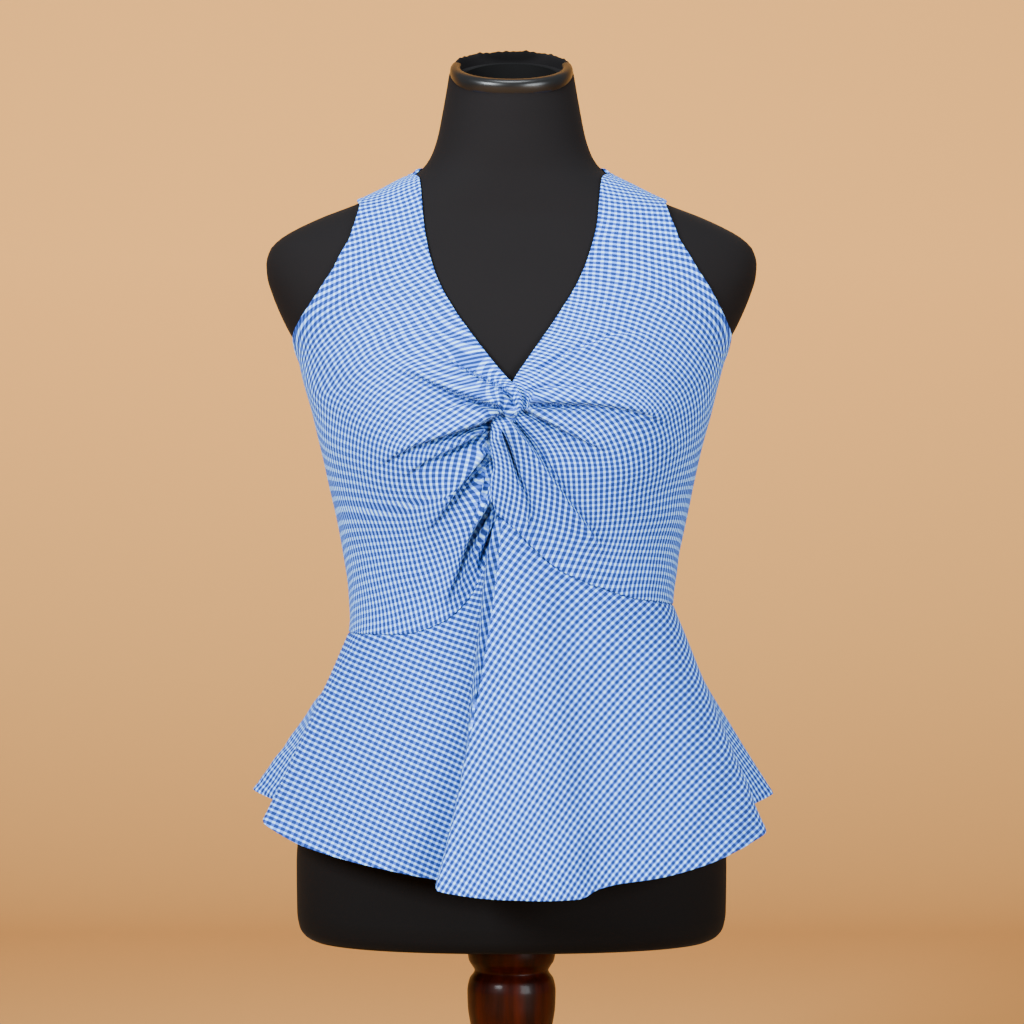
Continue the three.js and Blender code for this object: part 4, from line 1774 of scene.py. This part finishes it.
@dataclass
class NeckRing:
    """The moulded bead round the front of the neck's rim, and the form's own edge behind it."""

    radius: float = 44.5
    middle: float = -2.0
    ends: float = 104.0

    def bead(self, plastic: bpy.types.Material) -> bpy.types.Object:
        """Makes the moulded bead, open at the back and with its ends cut square.

        Args:
            plastic: its finish.

        Returns:
            The bead, in place of the ring's solid.
        """
        turn = np.linspace(-self.ends, self.ends, 121)
        front = smooth((100 - np.abs(turn)) / 70)
        taper = 1 - 0.35 * np.clip((np.abs(turn) - self.ends + 5) / 5, 0, 1) ** 2
        sizes = (4.2 + 1.6 * front) * taper, (4.3 + 2.6 * front) * taper
        rings = self.band(turn, self.radius + 2.4 * front, 4.4 - 2.6 * front, *sizes, 2.5)
        points, faces = skin(rings, rings[0].mean(0), rings[-1].mean(0))
        ring = mesh_object("ring_moulding", points, faces, plastic)
        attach(ring, "root")
        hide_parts("neck_ring")
        return ring

    def edge(self, jersey: bpy.types.Material) -> bpy.types.Object:
        """Makes the uneven edge of jersey that stands up behind the bead.

        Args:
            jersey: its finish.

        Returns:
            The edge, which has no solid of its own.
        """
        turn = np.linspace(0, 360, 241)[:-1]
        behind = 0.5 - 0.5 * np.cos(np.radians(turn))
        chance = np.random.default_rng(21)
        ragged = sum(
            np.cos(np.radians(turn * n) + chance.uniform(0, 6.3)) * chance.uniform(0.1, 0.34)
            for n in (5, 9, 14, 23, 37, 52)
        )
        rise = mix(-4.4, 8.6, smooth(behind * 1.25)) + ragged * mix(0.5, 1.0, behind)
        half = (rise + 9.0) / 2
        lip = self.band(turn, 50.2 - 4.2 * behind, rise - half, 1.0 + 0.7 * behind, half, 2.6)
        at = np.arange(lip.shape[0] * lip.shape[1]).reshape(lip.shape[:2])
        on, above = np.roll(at, -1, axis=0), np.roll(at, -1, axis=1)
        faces = np.stack([at, on, np.roll(on, -1, axis=1), above], axis=-1).reshape(-1, 4)
        edge = mesh_object("neck_edge", lip.reshape(-1, 3), faces, jersey)
        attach(edge, "root")
        return edge

    def band(
        self,
        turn: Array,
        radius: Array,
        rise: Array,
        half_width: Array,
        half_height: Array,
        squareness: float,
    ) -> Array:
        """Rounded sections set round the neck.

        Args:
            turn: the angle of each section.
            radius: how far out its middle is.
            rise: how high its middle is over the rim.
            half_width: half its size outwards.
            half_height: half its size upwards.
            squareness: 2 for an oval section, more for a squarer one.

        Returns:
            A ring of points for each section.
        """
        part = np.linspace(0, 2 * math.pi, 26, endpoint=False)[None]
        waves = (np.cos(part), np.sin(part))
        wide, high = (np.sign(wave) * np.abs(wave) ** (2 / squareness) for wave in waves)
        out = radius[:, None] + half_width[:, None] * wide
        z = rise[:, None] + half_height[:, None] * high
        across = np.radians(turn)[:, None]
        x, y = out * np.sin(across), -out * np.cos(across)
        tilt = math.radians(FORM_FIGURE.neck_tilt)
        up = DATUM + FORM_FIGURE.neck_top + 2 * SEAM_GAP
        up += self.middle * float(FORM_FIGURE.lean(FORM_FIGURE.neck_top))
        depth = y * math.cos(tilt) - z * math.sin(tilt) + self.middle
        return np.stack([x, depth, y * math.sin(tilt) + z * math.cos(tilt) + up], axis=-1)


# The radius and height of the turnings, from the lowest up
POST_TURNING = [
    (42, 30), (41, 35), (35, 39), (25, 44), (20, 52), (19, 60), (24, 63), (26, 67), (24, 71),
    (18.5, 74), (18, 84), (21, 104), (27, 130), (32.5, 155), (35, 172), (35.3, 184), (33.6, 193),
    (30, 198.5), (29.5, 200), (31, 203), (34, 208), (35, 214), (34.6, 221),
]
FOOT_TURNING = [
    (146, 0), (149, 3), (150, 8), (148, 13), (142, 16), (139, 18), (137, 22), (130, 25),
]


@dataclass
class Stand:
    """The turned post and the round foot."""

    foot_height: float = 26.0
    underside: float = 226.0

    def build(self, wood: bpy.types.Material) -> list[bpy.types.Object]:
        """Makes both turned parts.

        Args:
            wood: their finish.

        Returns:
            The post and the foot, each in place of its solid.
        """
        low, high = self.foot_height + SEAM_GAP, self.underside - SEAM_GAP
        post = [(0, low), (40, low), *POST_TURNING, (33.5, high), (0, high)]
        foot = [(0, 0), *FOOT_TURNING, (118, self.foot_height), (0, self.foot_height)]
        parts = (("post_turning", "stand_post", post), ("foot_turning", "stand_foot", foot))
        made = []
        for name, node, profile in parts:
            points, faces = lathe(rounded(profile), 128)
            piece = mesh_object(name, points, faces, wood)
            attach(piece, "root")
            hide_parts(node)
            made.append(piece)
        return made


class Signal:
    """A shader socket that can be used in sums."""

    def __init__(self, bench: Bench, socket: bpy.types.NodeSocket) -> None:
        """Keeps the socket and the bench that its nodes stand on."""
        self.bench, self.socket = bench, socket

    def _sum(self, operation: str, *values: Signal | float) -> Signal:
        """Adds a Math node."""
        return self.bench.node("ShaderNodeMath", {"operation": operation}, dict(enumerate(values)))

    def __add__(self, other: Signal | float) -> Signal:
        """The two added."""
        return self._sum("ADD", self, other)

    __radd__ = __add__

    def __mul__(self, other: Signal | float) -> Signal:
        """The two multiplied."""
        return self._sum("MULTIPLY", self, other)

    __rmul__ = __mul__

    def __sub__(self, other: Signal | float) -> Signal:
        """The other taken from this."""
        return self._sum("SUBTRACT", self, other)

    def __rsub__(self, other: float) -> Signal:
        """This taken from the other."""
        return self._sum("SUBTRACT", other, self)

    def sine(self) -> Signal:
        """The sine of this."""
        return self._sum("SINE", self)

    def kept(self, low: float = 0.0, high: float = 1.0) -> Signal:
        """This, kept between two values."""
        return self._sum("MAXIMUM", self._sum("MINIMUM", self, high), low)


class Bench:
    """One material's nodes, and how they are added."""

    def __init__(self, name: str) -> None:
        """Starts a material with nothing but its output.

        Args:
            name: what the material is called.
        """
        self.material = bpy.data.materials.new(name)
        self.material.use_nodes = True
        self.tree = self.material.node_tree
        self.tree.nodes.clear()

    def node(
        self,
        kind: str,
        settings: dict[str, object] | None = None,
        values: dict[str | int, object] | None = None,
        output: str | int = 0,
    ) -> Signal:
        """Adds a node.

        Args:
            kind: the node's type.
            settings: what is set on the node itself; `stops` are a ramp's places and colours.
            values: a value or a link for each socket, by name or number.
            output: the socket that is given back.

        Returns:
            The output as a signal.
        """
        made = self.tree.nodes.new(kind)
        for key, value in (settings or {}).items():
            if key == "stops":
                self._stop(made.color_ramp, value)
            else:
                setattr(made, key, value)
        for key, value in (values or {}).items():
            if isinstance(value, Signal):
                self.tree.links.new(value.socket, made.inputs[key])
            else:
                made.inputs[key].default_value = value
        return Signal(self, made.outputs[output]) if len(made.outputs) else Signal(self, None)

    @staticmethod
    def _stop(ramp: bpy.types.ColorRamp, stops: Sequence[tuple[float, tuple[float, ...]]]) -> None:
        """Sets a ramp's stops.

        Args:
            ramp: the ramp.
            stops: the place and colour of each stop, in order.
        """
        while len(ramp.elements) < len(stops):
            ramp.elements.new(0.5)
        for element, (place, colour) in zip(ramp.elements, stops):
            element.position, element.color = place, (*colour, 1)

    def shaded(self, shader: Signal) -> bpy.types.Material:
        """Ends the material with a shader."""
        self.node("ShaderNodeOutputMaterial", None, {"Surface": shader})
        return self.material

    def place(self) -> Signal:
        """Where each point of the object is, in metres."""
        return self.node("ShaderNodeTexCoord", None, None, "Object")

    def noise(self, scale: float, detail: float, where: Signal | None = None) -> Signal:
        """Soft noise over the object, or over other coordinates."""
        sockets = {"Vector": where or self.place(), "Scale": scale, "Detail": detail}
        return self.node("ShaderNodeTexNoise", None, sockets, 0)

    def part(self, vector: Signal, axis: int) -> Signal:
        """One of a vector's three numbers."""
        return self.node("ShaderNodeSeparateXYZ", None, {0: vector}, axis)

    def blend(self, share: Signal | float, first: object, second: object) -> Signal:
        """Two colours mixed."""
        return self.node("ShaderNodeMix", {"data_type": "RGBA"}, {0: share, 6: first, 7: second}, 2)

    def bump(self, strength: float, distance: float, height: Signal) -> Signal:
        """Fine relief that only the light sees."""
        sockets = {"Strength": strength, "Distance": distance, "Height": height}
        return self.node("ShaderNodeBump", None, sockets)

    def finished(self, finish: dict[str, object]) -> bpy.types.Material:
        """Ends the material with a plain surface of the given finish."""
        return self.shaded(self.node("ShaderNodeBsdfPrincipled", None, finish))


@dataclass(frozen=True)
class Gingham:
    """Light cotton with a small blue and white check, deeper along its length than across it."""

    white: tuple[float, ...] = (0.34, 0.68, 1.0)
    across: tuple[float, ...] = (0.088, 0.245, 0.85)
    along: tuple[float, ...] = (0.03, 0.09, 0.45)
    both: tuple[float, ...] = (0.009, 0.028, 0.145)
    # crease: the dark navy of the painted shade in creases and folds
    crease: tuple[float, ...] = (0.002, 0.005, 0.03, 1.0)
    yarns: float = 14.0  # in each repeat of the check

    def make(self) -> bpy.types.Material:
        """Makes the material.

        Returns:
            The material.
        """
        bench = Bench("gingham")
        laid = bench.node("ShaderNodeUVMap", {"uv_map": "Check"})
        waver = bench.noise(90.0, 2.0) - 0.5
        parts = [bench.part(laid, axis) for axis in (0, 1)]
        stripes = [((part + waver * 0.06) * (2 * math.pi)).sine() for part in parts]
        bands = [(stripe * 1.8 + 1.0).kept() for stripe in stripes]
        slub = bench.noise(700.0, 3.0)
        depth = bands[0] * 0.65 + bands[1] * 0.35 + (slub - 0.5) * 0.14
        stops = [(0.0, self.white), (0.35, self.across), (0.65, self.along), (1.0, self.both)]
        tint = bench.node("ShaderNodeValToRGB", {"stops": stops}, {0: depth.kept()})
        # Painted shade: the Shade attribute darkens the check towards the crease navy
        crease = bench.node("ShaderNodeAttribute", {"attribute_name": "Shade"}, None, "Fac")
        yarns = [(part * (2 * math.pi * self.yarns)).sine() for part in parts]
        weave = yarns[0] * yarns[1] * 0.5 + slub
        bump = bench.bump(0.25, 0.0002, weave)
        cloth = {
            "Base Color": bench.blend(crease * 0.86, tint, self.crease),
            "Roughness": 0.9,
            "Specular IOR Level": 0.08,
            "Sheen Weight": 0.02,
            "Sheen Roughness": 0.5,
            "Normal": bump,
        }
        return bench.finished(cloth)


@dataclass(frozen=True)
class Jersey:
    """Black stretch jersey, close and matt, with a little lint."""

    black: tuple[float, ...] = (0.0044, 0.0037, 0.004, 1.0)
    worn: tuple[float, ...] = (0.0062, 0.0054, 0.0058, 1.0)
    # well: painted shade inside the open neck
    well: tuple[float, ...] = (0.0012, 0.001, 0.001, 1.0)
    # shaded: painted shadow on the form's lower part, under the peplum
    shaded: tuple[float, ...] = (0.0008, 0.0007, 0.0008, 1.0)
    well_size: float = 0.00158  # the square of the open neck's radius, in square metres

    def make(self) -> bpy.types.Material:
        """Makes the material.

        Returns:
            The material.
        """
        bench = Bench("jersey")
        fine, soft = bench.noise(900.0, 2.0), bench.noise(9.0, 3.0)
        shade = bench.blend((soft - 0.3).kept() * 0.5, self.black, self.worn)
        bump = bench.bump(0.3, 0.0003, fine)
        x, y, z = (bench.part(bench.place(), axis) for axis in range(3))
        # Painted shade: darker inside the open neck
        painted_well_shade = ((self.well_size - (x * x + y * y)) * 9000).kept()
        shade = bench.blend(painted_well_shade, shade, self.well)
        # Painted shadow: darker low down on the form, under the peplum
        shade = bench.blend((2.6 - z * 6.5).kept() * 0.8, shade, self.shaded)
        cloth = {
            "Base Color": shade,
            "Roughness": 0.85,
            "Specular IOR Level": 0.09,
            "Sheen Weight": 0.009,
            "Sheen Roughness": 0.4,
            "Normal": bump,
        }
        return bench.finished(cloth)


@dataclass(frozen=True)
class MouldedPlastic:
    """Black moulded plastic with a soft shine."""

    black: tuple[float, ...] = (0.005, 0.005, 0.005, 1.0)

    def make(self) -> bpy.types.Material:
        """Makes the material.

        Returns:
            The material.
        """
        bench = Bench("ring")
        soft = bench.noise(60.0, 3.0)
        bump = bench.bump(0.12, 0.0006, soft)
        plastic = {
            "Base Color": self.black,
            "Roughness": soft * 0.14 + 0.24,
            "Specular IOR Level": 0.28,
            "Normal": bump,
        }
        return bench.finished(plastic)


@dataclass(frozen=True)
class VarnishedWood:
    """Turned hardwood under a dark red-brown varnish."""

    dark: tuple[float, ...] = (0.007, 0.0008, 0.0002, 1.0)
    red: tuple[float, ...] = (0.036, 0.0034, 0.0004, 1.0)

    def make(self) -> bpy.types.Material:
        """Makes the material.

        Returns:
            The material.
        """
        bench = Bench("wood")
        drawn_out = {"Vector": bench.place(), "Scale": (60.0, 60.0, 5.0)}
        long_way = bench.node("ShaderNodeMapping", None, drawn_out)
        grain = bench.noise(1.6, 6.0, long_way)
        pores = bench.noise(9.0, 3.0, long_way)
        stain = bench.blend(((grain - 0.35) * 2.4).kept(), self.dark, self.red)
        bump = bench.bump(0.15, 0.0003, pores)
        wood = {
            "Base Color": stain,
            "Roughness": pores * 0.2 + 0.3,
            "Specular IOR Level": 0.06,
            "Coat Weight": 0.06,
            "Coat Roughness": 0.15,
            "Normal": bump,
        }
        return bench.finished(wood)


@dataclass
class Studio:
    """The backdrop, the soft lights and the camera."""

    focal_length: float = 109.9
    sweep: float = 0.9
    daylight: tuple[float, ...] = (0.9, 0.96, 1.0)
    room: tuple[float, ...] = (0.84, 0.92, 1.0, 1.0)
    room_strength: float = 0.36
    paper: tuple[float, ...] = (0.80, 0.39, 0.106, 1.0)
    paper_fibre: tuple[float, ...] = (0.765, 0.372, 0.100, 1.0)
    # The colour that the sweep darkens to at the floor, as painted shade
    paper_painted_shade: tuple[float, ...] = (0.46, 0.225, 0.066, 1.0)

    def build(self) -> None:
        """Sets up all three."""
        self.camera()
        self.backdrop()
        self.light("key", (-1.7, -2.3, 1.6), 0.9, 255)
        self.light("fill", (1.9, -2.5, 0.9), 1.3, 165)
        self.light("top", (0.0, -0.9, 2.9), 1.0, 72)
        world = bpy.data.worlds.new("soft_room")
        world.use_nodes = True
        background = world.node_tree.nodes["Background"]
        background.inputs["Color"].default_value = self.room
        background.inputs["Strength"].default_value = self.room_strength
        bpy.context.scene.world = world

    def camera(self) -> None:
        """Level with the middle of the form, as the photograph was taken."""
        data = bpy.data.cameras.new("camera")
        data.lens, data.sensor_width, data.sensor_fit = self.focal_length, 36.0, "HORIZONTAL"
        camera = bpy.data.objects.new("camera", data)
        camera.location = (0.0004, -VIEW_DISTANCE / 1000, DATUM / 1000)
        camera.rotation_euler = (math.radians(90), 0, 0)
        bpy.context.scene.collection.objects.link(camera)
        bpy.context.scene.camera = camera

    def light(
        self, name: str, place: tuple[float, float, float], size: float, power: float
    ) -> None:
        """A soft box that faces the form.

        Args:
            name: what it is called.
            place: where it stands, in metres.
            size: its width, in metres.
            power: its strength, in watts.
        """
        data = bpy.data.lights.new(name, "AREA")
        data.shape, data.size, data.energy = "SQUARE", size, power
        data.color = self.daylight
        lamp = bpy.data.objects.new(name, data)
        lamp.location = place
        aim = Vector((0, 0, DATUM / 1000)) - Vector(place)
        lamp.rotation_euler = aim.to_track_quat("-Z", "Y").to_euler()
        bpy.context.scene.collection.objects.link(lamp)

    def backdrop(self) -> None:
        """A pale warm paper sweep, from under the stand up behind it."""
        turn = np.linspace(0, math.pi / 2, 24)
        back, radius = 2.6, self.sweep
        y = np.concatenate([[-4.0], back - radius + radius * np.sin(turn), [back]])
        z = np.concatenate([[0.0], radius - radius * np.cos(turn), [4.5]])
        rows = np.stack([np.stack([np.full_like(y, x), y, z], axis=-1) for x in (-5.0, 5.0)])
        at = np.arange(rows.shape[0] * rows.shape[1]).reshape(rows.shape[:2])
        faces = np.stack([at[0, :-1], at[1, :-1], at[1, 1:], at[0, 1:]], axis=-1).reshape(-1, 4)
        bench = Bench("paper")
        fibre = bench.noise(6.0, 4.0)
        height = bench.part(bench.place(), 2)
        tone = bench.blend(fibre * 0.25, self.paper, self.paper_fibre)
        # Painted shade: the sweep darkens towards the floor
        tone = bench.blend((height * 0.9 + 0.12).kept(), self.paper_painted_shade, tone)
        paper = {"Base Color": tone, "Roughness": 0.95, "Specular IOR Level": 0.1}
        material = bench.finished(paper)
        mesh_object("sweep", rows.reshape(-1, 3) * 1000, faces, material)


@dataclass
class HalterTop:
    """The top's six pieces of cloth."""

    gingham: Gingham = Gingham()

    def build(self) -> list[bpy.types.Object]:
        """Makes the pieces from the front to the back.

        Returns:
            The six pieces.
        """
        cloth = self.gingham.make()
        pieces = [
            FrontHalf("front_right", (0.30, 0.42), 0.075, side=Side.RIGHT),
            FrontHalf("front_left", (0.30, 0.42), 0.072, side=Side.LEFT),
            BackBodice("back_bodice", (0.34, 0.19), 0.053),
            NeckBand("neck_band", (0.26, 0.05), 0.0127),
            Peplum("peplum_front", (0.62, 0.32), 0.115, held="hung", folded_at=(-10.0, -4.6)),
            Peplum(
                "peplum_back",
                (0.62, 0.30),
                0.092,
                held="hung",
                table=PEPLUM_BACK,
                finer=16,
                rows=111,
                grain=PEPLUM_BACK_GRAIN,
                seed=8,
                under_sides=True,
            ),
        ]
        made = []
        for piece in pieces:
            made.append(piece.build(cloth))
            log.info("%s: %d faces", made[-1].name, len(made[-1].data.polygons))
        return made


def main() -> None:
    """Builds the scene and reports each piece."""
    logging.basicConfig(level=logging.INFO, format="%(message)s")
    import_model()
    Studio().build()
    HalterTop().build()
    jersey = Jersey().make()
    for piece in (
        DressForm().build(jersey),
        NeckRing().bead(MouldedPlastic().make()),
        NeckRing().edge(jersey),
        *Stand().build(VarnishedWood().make()),
    ):
        log.info("%s: %d faces", piece.name, len(piece.data.polygons))


if __name__ == "__main__":
    main()
